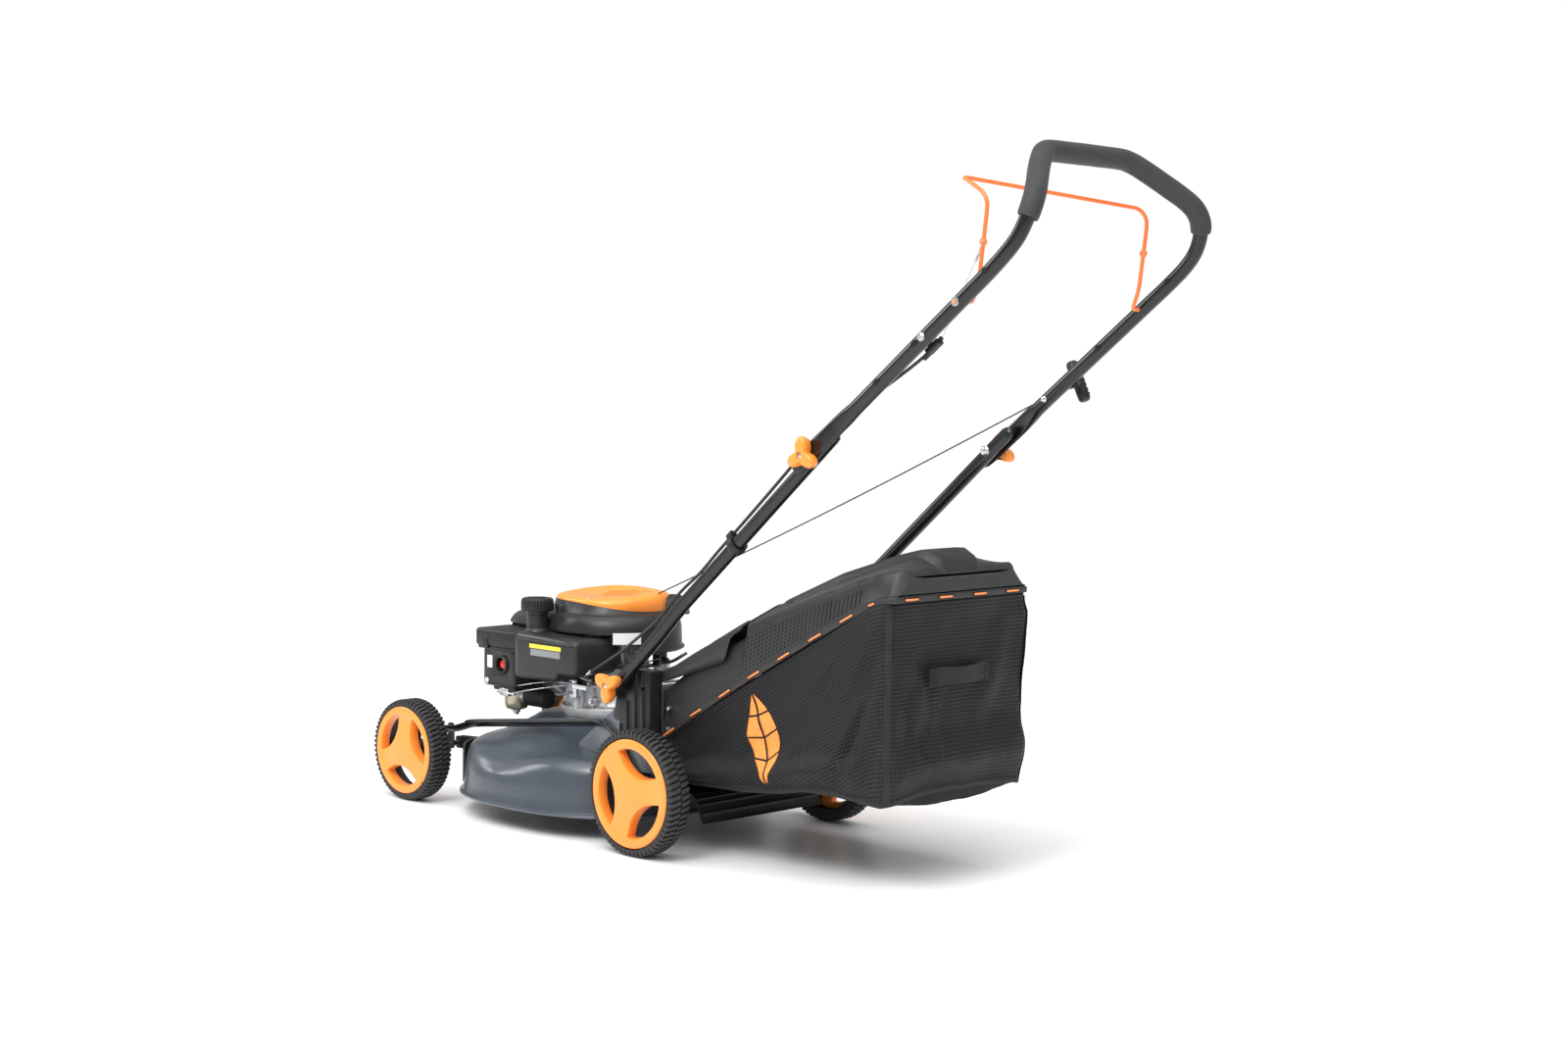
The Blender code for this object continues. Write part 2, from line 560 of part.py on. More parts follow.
def make_air_filter():
    lower = block((-0.129, 0.432, 0.213), (-0.0605, 0.520, 0.290), 0.005, 1)
    upper = block((-0.137, 0.4105, 0.284), (-0.0605, 0.532, 0.3155), 0.006, 2)
    pocket = block((-0.135, 0.448, 0.236), (-0.118, 0.482, 0.272), 0.003)
    socket = rod((-0.120, 0.465, 0.254), (-0.111, 0.465, 0.254), 0.0118, 18)
    keep(combine(lower, add=[upper], cut=[pocket, socket]), "air_filter_box", BLACK_PLASTIC)
    bulb = turned([(0, 0.0115), (0.004, 0.0110), (0.008, 0.0085), (0.0105, 0.004), (0.011, 0), (0, 0)],
                  (-0.118 - GAP, 0.465, 0.254), "X", 18)
    bulb.data.transform(Matrix.Translation((-0.118 - GAP, 0.465, 0.254)) @ Matrix.Rotation(math.pi, 4, "Z")
                        @ Matrix.Translation((0.118 + GAP, -0.465, -0.254)))
    keep(bulb, "primer_bulb", RED_RUBBER, pivot=(-0.118 - GAP, 0.465, 0.254))


def make_carburettor():
    x, y = -0.095, 0.466
    bowl = turned([(0, 0.206), (0.0215, 0.206), (0.0220, 0.186), (0.020, 0.178), (0.012, 0.173),
                   (0.0055, 0.172), (0.0055, 0.163), (0, 0.163)], (x, y, 0), steps=16)
    flange = block((x - 0.024, y - 0.026, 0.2045), (x + 0.024, y + 0.026, 0.2125), 0.002)
    throat = rod((x, y - 0.033, 0.199), (x, y + 0.033, 0.199), 0.013, 16)
    keep(combine(bowl, add=[flange, throat]), "carburettor", ALUMINIUM)
    length, folds = 0.055, 4
    profile = [(0, length)]
    for k in range(folds):
        z = length - 0.003 - (length - 0.003) * k / folds
        profile += [(0.0175, z), (0.0175, z - 0.005), (0.0135, z - 0.007), (0.0135, z - 0.011)]
    profile += [(0.0135, 0), (0, 0)]
    boot = turned(profile, (x + 0.002, y - 0.0335 - length, 0.199), "Y", 10)
    keep(boot, "intake_boot", BLACK_PLASTIC)


def make_dipstick():
    x, y, top = 0.060, 0.256, 0.262 + GAP
    star = []
    for k in range(24):
        radius = 0.0165 + 0.0045 * math.cos(3 * 2 * math.pi * k / 24)
        angle = 2 * math.pi * k / 24
        star.append((x + radius * math.cos(angle), y + radius * math.sin(angle)))
    cap = loft([[(px, py, z) for px, py in star] for z in (top, top + 0.012)])
    wing = block((x - 0.003, y - 0.015, top + 0.010), (x + 0.003, y + 0.015, top + 0.024), 0.001)
    keep(combine(cap, add=[wing]), "oil_dipstick", BLACK_PLASTIC, pivot=(x, y, top + 0.012))


# ---------------------------------------------------------------- rear flap and trailing shield
def make_rear_flap():
    hinge_y, hinge_z = FLAP_HINGE
    keep(rod((-0.1855, hinge_y, hinge_z), (0.1855, hinge_y, hinge_z), 0.003, 12), "flap_rod", STEEL)

    def section(y, skirt, shoulder, crown, drop):
        half = 0.1600 - drop
        return [(-half - 0.003, y, skirt), (-half + 0.004, y, shoulder - drop), (-0.080, y, crown - drop),
                (0.080, y, crown - drop), (half - 0.004, y, shoulder - drop), (half + 0.003, y, skirt)]

    stations = ((0.030, 0.279, 0.287, 0.288), (-0.010, 0.279, 0.300, 0.312), (-0.060, 0.300, 0.327, 0.350),
                (-0.135, 0.336, 0.364, 0.391), (-0.167, 0.372, 0.380, 0.408))
    outer = loft([section(y, skirt, sh, cr, 0) for y, skirt, sh, cr in stations])
    inner = loft([section(y - 0.004 * (y < -0.16) + 0.006 * (y > 0.02), skirt - 0.02, sh, cr, 0.003)
                  for y, skirt, sh, cr in stations])
    knuckle = rod((-0.155, hinge_y, hinge_z), (0.155, hinge_y, hinge_z), 0.0065, 14)
    bore = rod((-0.19, hinge_y, hinge_z), (0.19, hinge_y, hinge_z), 0.003 + GAP, 12)
    flap = combine(outer, cut=[inner])
    keep(combine(flap, add=[knuckle], cut=[bore]), "rear_flap", BLACK_PLASTIC, pivot=(0, hinge_y, hinge_z))


def make_trailing_shield():
    pivot_y, pivot_z = axle_pivot(front=False)
    line = [(pivot_y - 0.006, pivot_z), (0.0, 0.106), (-0.034, 0.090), (-0.047, 0.076), (-0.060, 0.047)]
    sheet = plate(strip(line, 0.004), -0.138, 0.138)
    slots = [block((side * 0.125 - 0.010, pivot_y - 0.016, 0.09), (side * 0.125 + 0.010, pivot_y + 0.02, 0.125))
             for side in (-1, 1)]
    knuckles = [rod((side * 0.060 - 0.03, pivot_y, pivot_z), (side * 0.060 + 0.03, pivot_y, pivot_z), 0.0075, 12)
                for side in (-1, 1)]
    ribs = [plate(strip([(-0.006, 0.108), (-0.034, 0.0945)], 0.010), x - 0.002, x + 0.002)
            for x in (-0.10, -0.033, 0.033, 0.10)]
    bore = rod((-0.2, pivot_y, pivot_z), (0.2, pivot_y, pivot_z), AXLE_RADIUS + GAP)
    shield = combine(sheet, add=[*knuckles, *ribs], cut=[*slots, bore])
    keep(shield, "trailing_shield", BLACK_PLASTIC, pivot=(0, pivot_y, pivot_z))


# ---------------------------------------------------------------- handle
def leg_point(y):
    """Height of the upper handle's leg line at y."""
    return UPPER_KNOB[1] + (UPPER_KNOB[0] - y) * math.tan(LEG_ANGLE)


LOWER_STRAIGHT = ((-0.072, 0.403), (-0.399, leg_point(-0.399)))    # ends of the lower tubes' straight part


def lower_point(y):
    """Height of the lower tubes' straight part at y."""
    (y0, z0), (y1, z1) = LOWER_STRAIGHT
    return z0 + (z1 - z0) * (y - y0) / (y1 - y0)


def smooth_path(points, samples):
    """Catmull-Rom samples through points."""
    points = [Vector(p) for p in points]
    padded = [2 * points[0] - points[1], *points, 2 * points[-1] - points[-2]]
    path = []
    for i in range(1, len(padded) - 2):
        a, b, c, d = padded[i - 1:i + 3]
        for k in range(samples):
            t = k / samples
            path.append(0.5 * (2 * b + (c - a) * t + (2 * a - 5 * b + 4 * c - d) * t ** 2
                               + (3 * b - a - 3 * c + d) * t ** 3))
    path.append(points[-1])
    return path


def make_lower_handles():
    for side, word in ((-1, "left"), (1, "right")):
        x = side * LOWER_TUBE_X
        path = [(x, 0.104, 0.240), (x, -0.020, 0.352), (x, -0.046, 0.378),
                *[(x, y, z) for y, z in LOWER_STRAIGHT]]
        tube = pipe(path, TUBE_RADIUS, 2)
        bores = [rod((side * 0.18, *place), (side * 0.23, *place), 0.004 + GAP, 12)
                 for place in (LOWER_KNOB, UPPER_KNOB)]
        keep(combine(tube, cut=bores), "lower_handle_" + word, TUBE_PAINT, pivot=(x, *LOWER_KNOB))


def knob_shape(side, inner_x, place, reach, head, turn):
    """Three-lobed clamp knob outside the tube, with its bolt through to the inside."""
    y0, z0 = place
    lobes = []
    for k in range(18):
        angle = 2 * math.pi * k / 18
        lobe = max(0.0, math.cos(1.5 * ((angle + math.radians(turn)) % (2 * math.pi / 3) - math.pi / 3))) ** 3
        radius = 0.011 + 0.017 * lobe
        lobes.append((y0 + radius * math.cos(angle), z0 + radius * math.sin(angle)))
    body = loft([[(side * (inner_x + h), y0 + (y - y0) * grow, z0 + (z - z0) * grow) for y, z in lobes]
                 for h, grow in ((0.0, 0.86), (0.012, 1.0), (0.019, 0.92))])
    shank = rod((side * (inner_x + 0.015), y0, z0), (side * reach, y0, z0), 0.004, 12)
    pieces = [shank]
    if head:
        pieces.append(rod((side * (reach + 0.001), y0, z0), (side * (reach - 0.003), y0, z0), 0.0085, 14, 0.005))
    recess = rod((side * (inner_x + 0.014), y0, z0), (side * (inner_x + 0.03), y0, z0), 0.0055, 12)
    stud = rod((side * (inner_x + 0.010), y0, z0), (side * (inner_x + 0.0165), y0, z0), 0.0038, 10)
    return combine(combine(body, cut=[recess]), add=[*pieces, stud])


PLATE_X = (LOWER_TUBE_X + TUBE_RADIUS + GAP, LOWER_TUBE_X + TUBE_RADIUS + GAP + 0.006)    # crushed tube ends


def make_knobs():
    for side, word in ((-1, "left"), (1, "right")):
        lower = knob_shape(side, LOWER_TUBE_X + TUBE_RADIUS + GAP, LOWER_KNOB, 0.172, False, 30)
        keep(lower, "lower_knob_" + word, ORANGE, pivot=(side * 0.22, *LOWER_KNOB))
        upper = knob_shape(side, PLATE_X[1] + GAP, UPPER_KNOB, 0.1895, True, 90)
        keep(upper, "upper_knob_" + word, ORANGE, pivot=(side * 0.230, *UPPER_KNOB))


HANDLE_BEND = [                  # right half of the upper handle above its straight leg
    (UPPER_TUBE_X, -0.690, leg_point(-0.690)), (0.2135, -0.722, 0.9395), (0.2105, -0.742, 0.963),
    (0.2050, -0.7535, 0.990), (0.1960, -0.7555, 1.012), (0.1800, -0.7480, 1.032), (0.1450, -0.7240, 1.060),
    (0.1150, -0.7050, 1.081), (0.0980, -0.6970, 1.089), (0.0800, -0.6950, 1.0915)]


def make_upper_handle():
    start_y = -0.424
    right = [(UPPER_TUBE_X, start_y, leg_point(start_y)), *HANDLE_BEND]
    path = [(-x, y, z) for x, y, z in right] + [p for p in reversed(right)]
    tube = pipe(path, TUBE_RADIUS, 2)
    flats, holes = [], []
    end_y = -0.330
    for side in (-1, 1):
        across = Vector((0, math.sin(LEG_ANGLE), math.cos(LEG_ANGLE)))
        rings = []
        for y, half, x_in, x_out in ((end_y, 0.0135, *PLATE_X), (-0.405, 0.0135, *PLATE_X),
                                     (-0.450, 0.0108, PLATE_X[0] - 0.006, PLATE_X[1] + 0.005)):
            mid = Vector((0, y, leg_point(y)))
            low, high = mid - across * half, mid + across * half
            rings.append([(side * x_in, low.y, low.z), (side * x_out, low.y, low.z),
                          (side * x_out, high.y, high.z), (side * x_in, high.y, high.z)])
        flats.append(loft(rings))
        holes.append(rod((side * 0.2, *UPPER_KNOB), (side * 0.24, *UPPER_KNOB), 0.004 + GAP, 12))
        holes.append(rod((side * 0.195, *BAIL_PIVOT), (side * 0.24, *BAIL_PIVOT), BAIL_RADIUS + GAP, 12))
    keep(combine(tube, add=flats, cut=holes), "upper_handle", TUBE_PAINT, pivot=(0, *UPPER_KNOB))


def make_foam_grip():
    grip = HANDLE_BEND[3:]
    path = [(-x, y, z) for x, y, z in grip] + [p for p in reversed(grip)]
    foam = pipe(path, FOAM_RADIUS, 2)
    core_path = [(-x, y, z) for x, y, z in HANDLE_BEND[2:]] + [p for p in reversed(HANDLE_BEND[2:])]
    keep(combine(foam, cut=[pipe(core_path, TUBE_RADIUS / math.cos(math.pi / 8) + GAP, 2)]), "foam_grip", FOAM)


BAIL_TOPS = {                   # the bar lies further forward at its left end, and lower at its right
    -1: ((0.1878, -0.6690, 1.016), (0.1865, -0.6600, 1.029), (0.1790, -0.6280, 1.046), (0.1680, -0.6080, 1.053),
         (0.1500, -0.6030, 1.0535)),
    1: ((0.1872, -0.6675, 1.012), (0.1835, -0.6630, 1.022), (0.1740, -0.6585, 1.0275), (0.1600, -0.6560, 1.0285))}


def bail_half(side, top, pin_end):
    """One half of the bail: pin through the leg, arm, corner and half the cross bar."""
    right = [(pin_end, *BAIL_PIVOT), (BAIL_X, *BAIL_PIVOT), (BAIL_X, -0.6560, 0.905), (BAIL_X, -0.6630, 0.960),
             (BAIL_X, -0.6680, 1.000), *top]
    return [(side * x, y, z) for x, y, z in right]


def make_bail():
    wire = pipe(bail_half(-1, BAIL_TOPS[-1], 0.228) + bail_half(1, BAIL_TOPS[1], 0.228)[::-1], BAIL_RADIUS)
    eyes, holes = [], []
    for x in (-BAIL_X, BAIL_X):
        eyes.append(rod((x - 0.0015, -0.6630, 0.960), (x + 0.0015, -0.6630, 0.960), 0.006, 14))
        holes.append(rod((x - 0.01, -0.6630, 0.960), (x + 0.01, -0.6630, 0.960), 0.002, 10))
    keep(combine(wire, add=eyes, cut=holes), "bail_bar", ORANGE_WIRE, pivot=(0, *BAIL_PIVOT))


# ---------------------------------------------------------------- controls on the handle
CABLE_RADIUS = 0.0025


def make_stop_cable():
    lift = Vector((0, math.sin(LEG_ANGLE), math.cos(LEG_ANGLE))) * 0.0155

    def beside_leg(x, y, share):
        """A point share of the usual lift above the handle's line."""
        return Vector((x, y, leg_point(y))) + lift * share

    stop = Vector((-0.1945, -0.5830, 0.8144))
    bracket = block(stop - Vector((0.0075, 0.014, 0.0050)), stop + Vector((0.0055, 0.014, 0.0050)), 0.002)
    bracket.data.transform(Matrix.Translation(stop) @ Matrix.Rotation(-LEG_ANGLE, 4, "X")
                           @ Matrix.Translation(-stop))
    keep(bracket, "cable_bracket", BLACK_PLASTIC)
    wire_start = stop + Vector((0.0, -0.0125, 0.0118))
    keep(pipe([wire_start, (-0.1935, -0.6590, 0.9480)], 0.0009), "bail_wire", STEEL)

    upper = [stop + Vector((0.0, 0.0128, -0.0100)), beside_leg(-0.1980, -0.530, -0.5), beside_leg(-0.1985, -0.470, 0.2),
             beside_leg(-0.2000, -0.405, 1.2), beside_leg(-0.2020, -0.362, 1.35)]
    keep(pipe(smooth_path(upper, 3), CABLE_RADIUS), "stop_cable_upper", CABLE)
    step = (upper[-1] - upper[-2]).normalized() * 0.0004
    lower = [upper[-1] + step, *[Vector((-0.202, y, lower_point(y))) + lift * share
                                 for y, share in ((-0.320, 1.3), (-0.250, 1.18), (-0.165, 1.13))]]
    keep(pipe(smooth_path(lower, 3), CABLE_RADIUS), "stop_cable_lower", CABLE)
    step = (lower[-1] - lower[-2]).normalized() * 0.0004
    engine = [lower[-1] + step, (-0.202, -0.115, 0.4610), (-0.200, -0.067, 0.4260), (-0.197, -0.012, 0.3780),
              (-0.182, 0.055, 0.3400), (-0.163, 0.118, 0.3100), (-0.150, 0.180, 0.2820), (-0.142, 0.222, 0.2620)]
    keep(pipe(smooth_path(engine, 3), CABLE_RADIUS), "stop_cable_engine", CABLE)

    clip_y = -0.195
    centre = Vector((-LOWER_TUBE_X, clip_y, lower_point(clip_y)))
    (y0, z0), (y1, z1) = LOWER_STRAIGHT
    along = Vector((0, y1 - y0, z1 - z0)).normalized()
    cable_at = centre + lift * 1.13
    clip = combine(rod(centre - along * 0.010, centre + along * 0.010, 0.0145, 20),
                   add=[rod(cable_at - along * 0.009, cable_at + along * 0.009, 0.0058, 14)],
                   cut=[rod(centre - along * 0.02, centre + along * 0.02, TUBE_RADIUS + GAP, 24),
                        rod(cable_at - along * 0.02, cable_at + along * 0.02, CABLE_RADIUS + 0.0008, 12)])
    keep(clip, "cable_clip", BLACK_PLASTIC)


ROPE_START = Vector((0.0360, 0.2420, 0.3860))
ROPE_GUIDE = Vector((0.2400, -0.4600, 0.7470))


def make_pull_start():
    pull = (ROPE_GUIDE - ROPE_START).normalized()
    guide = combine(rod(ROPE_GUIDE - pull * 0.003, ROPE_GUIDE + pull * 0.003, 0.009, 16),
                    add=[rod(ROPE_GUIDE, (0.2278, ROPE_GUIDE.y - 0.008, leg_point(ROPE_GUIDE.y - 0.008)), 0.0035, 10)],
                    cut=[rod(ROPE_GUIDE - pull * 0.01, ROPE_GUIDE + pull * 0.01, 0.0024, 12)])
    keep(guide, "rope_guide", STEEL)
    end = ROPE_GUIDE + pull * 0.022
    keep(pipe([ROPE_START, end - pull * 0.0004], 0.0014), "starter_rope", CABLE)
    side_way = Vector((0.05, 0.48, 0.87))
    side_way = (side_way - pull * side_way.dot(pull)).normalized()
    seat = end + pull * 0.022
    bar = rod(seat - side_way * 0.034, seat + side_way * 0.034, 0.0105, 14)
    nose = rod(end, seat + pull * 0.004, 0.0055, 12, 0.0095)
    keep(combine(bar, add=[nose]), "starter_grip", BLACK_PLASTIC, pivot=seat)


# ---------------------------------------------------------------- grass bag
LID_STATIONS = (                 # y, rim z, rim half, shoulder z, shoulder half, crown z, crown half
    (0.008, 0.178, 0.166, 0.250, 0.152, 0.256, 0.070), (-0.060, 0.221, 0.166, 0.311, 0.152, 0.335, 0.070),
    (-0.135, 0.264, 0.166, 0.347, 0.151, 0.378, 0.070), (-0.168, 0.283, 0.166, 0.362, 0.150, 0.392, 0.070),
    (-0.174, 0.286, 0.167, 0.384, 0.155, 0.414, 0.070), (-0.300, 0.355, 0.166, 0.430, 0.153, 0.467, 0.070),
    (-0.400, 0.409, 0.162, 0.466, 0.150, 0.501, 0.055), (-0.440, 0.430, 0.160, 0.478, 0.144, 0.512, 0.044),
    (-0.468, 0.437, 0.158, 0.484, 0.132, 0.499, 0.040), (BAG_REAR_Y, 0.437, 0.157, 0.478, 0.126, 0.485, 0.036))


def lid_section(station, wall):
    y, rim_z, rim, shoulder_z, shoulder, crown, flat = station
    low = rim_z - (0.03 if wall else 0)
    right = [(rim - wall, low), (rim - wall, rim_z + 0.012), (shoulder - wall, shoulder_z - wall),
             (flat + 0.015, crown - 0.004 - wall), (flat, crown - wall)]
    return [(x, y, z) for x, z in right] + [(-x, y, z) for x, z in reversed(right)]


def make_bag_lid():
    outer = loft([lid_section(s, 0) for s in LID_STATIONS])
    inner_stations = [(0.020, *LID_STATIONS[0][1:]), *LID_STATIONS[1:-1],
                      (BAG_REAR_Y + SHEET, *LID_STATIONS[-1][1:])]
    inner = loft([lid_section(s, SHEET) for s in inner_stations])
    keep(combine(outer, cut=[inner]), "bag_lid", LID_PLASTIC)


def rim_at(y):
    for (y0, z0, w0, *_), (y1, z1, w1, *_) in zip(LID_STATIONS, LID_STATIONS[1:]):
        if y1 <= y <= y0:
            t = (y0 - y) / (y0 - y1)
            return z0 + (z1 - z0) * t, w0 + (w1 - w0) * t
    return LID_STATIONS[-1][1:3]


def make_bag_rod():
    right = []
    for y in (-0.010, -0.10, -0.17, -0.24, -0.31, -0.38, -0.43, -0.462):
        z, half = rim_at(y)
        right.append((half - 0.0065, y, z + 0.006))
    rear_z, rear_half = rim_at(-0.470)
    right.append((rear_half - 0.013, -0.4725, rear_z + 0.006))
    keep(pipe(mirrored(right) + right[::-1], 0.0028), "bag_frame_rod", ORANGE_WIRE)


def fabric_ring(y, bottom, wall, lift):
    """Bag cross-section: rounded lower corners, straight sides up to the rim."""
    z, half = rim_at(y)
    top = z - 0.0008 + lift
    side = half - 0.0025 - wall
    low = bottom + wall
    return [(-side, y, top), (-side, y, low + 0.020), (-side + 0.006, y, low + 0.005), (-side + 0.022, y, low),
            (side - 0.022, y, low), (side - 0.006, y, low + 0.005), (side, y, low + 0.020), (side, y, top)]


def make_bag_fabric():
    stations = ((0.008, 0.124), (-0.060, 0.120), (-0.170, 0.121), (-0.300, 0.138), (-0.400, 0.142),
                (-0.440, 0.143), (-0.462, 0.144), (BAG_REAR_Y + 0.003, 0.148))
    outer = loft([fabric_ring(y, bottom, 0, 0) for y, bottom in stations])
    inner_stations = ((0.020, 0.124), *stations[1:-1], (BAG_REAR_Y + 0.006, 0.148))
    inner = loft([fabric_ring(y, bottom, 0.003, 0.02) for y, bottom in inner_stations])
    keep(combine(outer, cut=[inner]), "bag_fabric", FABRIC)
    strap = combine(block((-0.062, BAG_REAR_Y - 0.004, 0.309), (0.072, BAG_REAR_Y - 0.0015, 0.335)),
                    add=[block((-0.062, BAG_REAR_Y - 0.0016, 0.309), (-0.050, BAG_REAR_Y + 0.0027, 0.335)),
                         block((0.060, BAG_REAR_Y - 0.0016, 0.309), (0.072, BAG_REAR_Y + 0.0027, 0.335))])
    keep(strap, "bag_strap", FABRIC)


# ---------------------------------------------------------------- assembly
make_deck()
make_grass_comb()
make_handle_brackets()
for front_end in (True, False):
    for hand in (-1, 1):
        make_wheel(hand, front_end)
make_axles()
make_height_link()
make_height_spring()
make_blade_drive()
make_crankcase()
make_cylinder()
make_muffler()
make_shroud()
make_recoil_starter()
make_fuel_tank()
make_air_filter()
make_carburettor()
make_dipstick()
make_rear_flap()
make_trailing_shield()
make_lower_handles()
make_knobs()
make_upper_handle()
make_foam_grip()
make_bail()
make_stop_cable()
make_pull_start()
make_bag_lid()
make_bag_rod()
make_bag_fabric()
bpy.data.collections.remove(bench)
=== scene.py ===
"""Looks of the walk-behind mower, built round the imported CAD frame.

Lengths are metres in the frame's axes.  Like the CAD source, shapes are laid out from the
rear axle (y = 0 there), and emit() moves each finished mesh by REAR_Y into the frame.
"""
import math

import bmesh
import bpy
import numpy as np
from mathutils import Matrix, Vector, noise


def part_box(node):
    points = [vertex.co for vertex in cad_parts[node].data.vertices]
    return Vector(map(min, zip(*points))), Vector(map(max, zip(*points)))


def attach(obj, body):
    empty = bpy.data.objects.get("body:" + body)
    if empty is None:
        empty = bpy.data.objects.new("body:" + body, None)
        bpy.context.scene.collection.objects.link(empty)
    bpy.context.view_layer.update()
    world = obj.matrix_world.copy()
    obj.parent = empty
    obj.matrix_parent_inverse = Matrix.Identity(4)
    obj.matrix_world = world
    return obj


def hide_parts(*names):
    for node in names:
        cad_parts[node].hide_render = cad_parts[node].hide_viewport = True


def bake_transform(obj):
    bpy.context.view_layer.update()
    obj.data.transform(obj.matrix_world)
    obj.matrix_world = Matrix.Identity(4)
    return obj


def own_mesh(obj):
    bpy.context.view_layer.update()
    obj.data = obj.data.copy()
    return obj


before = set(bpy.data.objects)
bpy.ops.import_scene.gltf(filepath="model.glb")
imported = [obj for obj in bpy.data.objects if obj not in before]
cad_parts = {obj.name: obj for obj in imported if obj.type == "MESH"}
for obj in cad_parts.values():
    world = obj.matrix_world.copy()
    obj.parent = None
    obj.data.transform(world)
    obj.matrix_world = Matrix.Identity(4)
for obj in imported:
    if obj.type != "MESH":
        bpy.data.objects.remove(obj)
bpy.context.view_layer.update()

low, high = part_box("wheel_rear_left")
REAR_Y = (low.y + high.y) / 2
TO_FRAME = Vector((0, REAR_Y, 0))     # from the script's layout to the frame
REAR_RADIUS = (high.z - low.z) / 2
low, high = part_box("wheel_front_left")
FRONT_Y = (low.y + high.y) / 2 - REAR_Y
FRONT_RADIUS = (high.z - low.z) / 2
HALF_TYRE = 0.0215
LUG_LEAN = 2.5                        # radians round the tyre for each metre across it

LEG_ANGLE = math.radians(38.1)        # upper legs above horizontal
UPPER_KNOB = (-0.36, 0.6532)         # y, z
LOWER_KNOB = (0.076, 0.2653)
BAIL_PIVOT = (-0.645, 0.8767)
TUBE = 0.011                          # handle tube radius
SLOT_PROUD = 0.0012                   # half thickness of the dark ovals, painted shade standing in for the tube's slots
ENGINE_Y = 0.31                      # crankshaft
BEVEL_ABOVE = math.radians(42)        # edges sharper than this are rounded
WINDOW_TURN = {True: 36, False: -10}  # degrees that the front and rear covers' windows are turned
NOTCH_TURN = {True: -136, False: 51}  # the same for the small notch in a cover's rim


# ---------------------------------------------------------------- shape helpers
class Shape:
    """Vertices and faces gathered for one piece; each face keeps a material index."""

    def __init__(self, *parts):
        self.verts, self.faces, self.looks = [], [], []
        for part in parts:
            self.add(part)

    def add(self, geometry, look=0, matrix=None):
        verts, faces = geometry
        base = len(self.verts)
        self.verts += [matrix @ Vector(v) if matrix else Vector(v) for v in verts]
        self.faces += [tuple(base + i for i in f) for f in faces]
        self.looks += [look] * len(faces)
        return self


def new_object(name, shape):
    """An object of a Shape, of one geometry or of a list of them, with its faces turned outwards."""
    if not isinstance(shape, Shape):
        shape = Shape(*shape) if isinstance(shape, list) else Shape(shape)
    mesh = bpy.data.meshes.new(name)
    mesh.from_pydata([tuple(v) for v in shape.verts], [], shape.faces)
    made = bmesh.new()
    made.from_mesh(mesh)
    bmesh.ops.recalc_face_normals(made, faces=made.faces[:])
    made.to_mesh(mesh)
    made.free()
    mesh.polygons.foreach_set("material_index", shape.looks)
    return link_new(name, mesh)


def link_new(name, data):
    obj = bpy.data.objects.new(name, data)
    bpy.context.scene.collection.objects.link(obj)
    return obj


def emit(name, shape, looks, body, replaces=(), bevel=None, smooth=38, uvs=None):
    """Make the piece, move it into the frame, and hang it on its CAD body."""
    obj = new_object(name, shape)
    mesh = obj.data
    for look in looks if isinstance(looks, list) else [looks]:
        mesh.materials.append(look)
    if uvs is not None:
        layer = mesh.uv_layers.new(name="cloth")
        loops = np.zeros(len(mesh.loops), np.int32)
        mesh.loops.foreach_get("vertex_index", loops)
        layer.data.foreach_set("uv", np.asarray(uvs, np.float32)[loops].ravel())
    mesh.transform(Matrix.Translation(TO_FRAME))
    if bevel:
        edges = obj.modifiers.new("edges", "BEVEL")
        edges.width, edges.segments = bevel, 2
        edges.limit_method, edges.angle_limit = "ANGLE", BEVEL_ABOVE
        edges.harden_normals = False
        bake_modifiers(obj)
    obj.data.shade_smooth()
    obj.data.set_sharp_from_angle(angle=math.radians(smooth))
    if body:
        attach(obj, body)
    if replaces:
        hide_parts(*replaces)
    return obj


def steel(name, shape, body="root"):
    """A zinc-plated piece beside the ones that replace CAD nodes."""
    emit(name, shape, ZINC, body)


def black(name, shape, body="root"):
    """The same in black plastic."""
    emit(name, shape, BLACK, body)


def bake_modifiers(obj):
    graph = bpy.context.evaluated_depsgraph_get()
    baked = bpy.data.meshes.new_from_object(obj.evaluated_get(graph))
    obj.modifiers.clear()
    old, obj.data = obj.data, baked
    name = old.name
    bpy.data.meshes.remove(old)
    baked.name = name


def thicken(obj, thickness, offset=-1):
    """Give an open skin its wall; offset -1 grows it inwards."""
    wall = obj.modifiers.new("wall", "SOLIDIFY")
    wall.thickness, wall.offset = thickness, offset
    bake_modifiers(obj)


def carved(base, add=(), cut=()):
    """Geometry of base with shapes joined on and cut away."""
    obj = new_object("scratch", base)
    others = []
    for operation, shapes in (("UNION", add), ("DIFFERENCE", cut)):
        for shape in shapes:
            other = new_object("scratch", shape)
            others.append(other)
            step = obj.modifiers.new("step", "BOOLEAN")
            step.operation, step.object = operation, other
    bake_modifiers(obj)
    verts = [v.co.copy() for v in obj.data.vertices]
    faces = [tuple(p.vertices) for p in obj.data.polygons]
    for scratch in (obj, *others):
        bpy.data.objects.remove(scratch)
    return verts, faces


def bridge(rings, closed=True, ends=True):
    """Quads between rings of equally many points, with the first and last ring filled."""
    count = len(rings[0])
    verts = [Vector(p) for ring in rings for p in ring]
    faces = []
    around = count if closed else count - 1
    for r in range(len(rings) - 1):
        for i in range(around):
            j = (i + 1) % count
            faces.append((r * count + i, r * count + j, (r + 1) * count + j, (r + 1) * count + i))
    if ends:
        faces.append(tuple(range(count)))
        faces.append(tuple(range((len(rings) - 1) * count, len(rings) * count)))
    return verts, faces


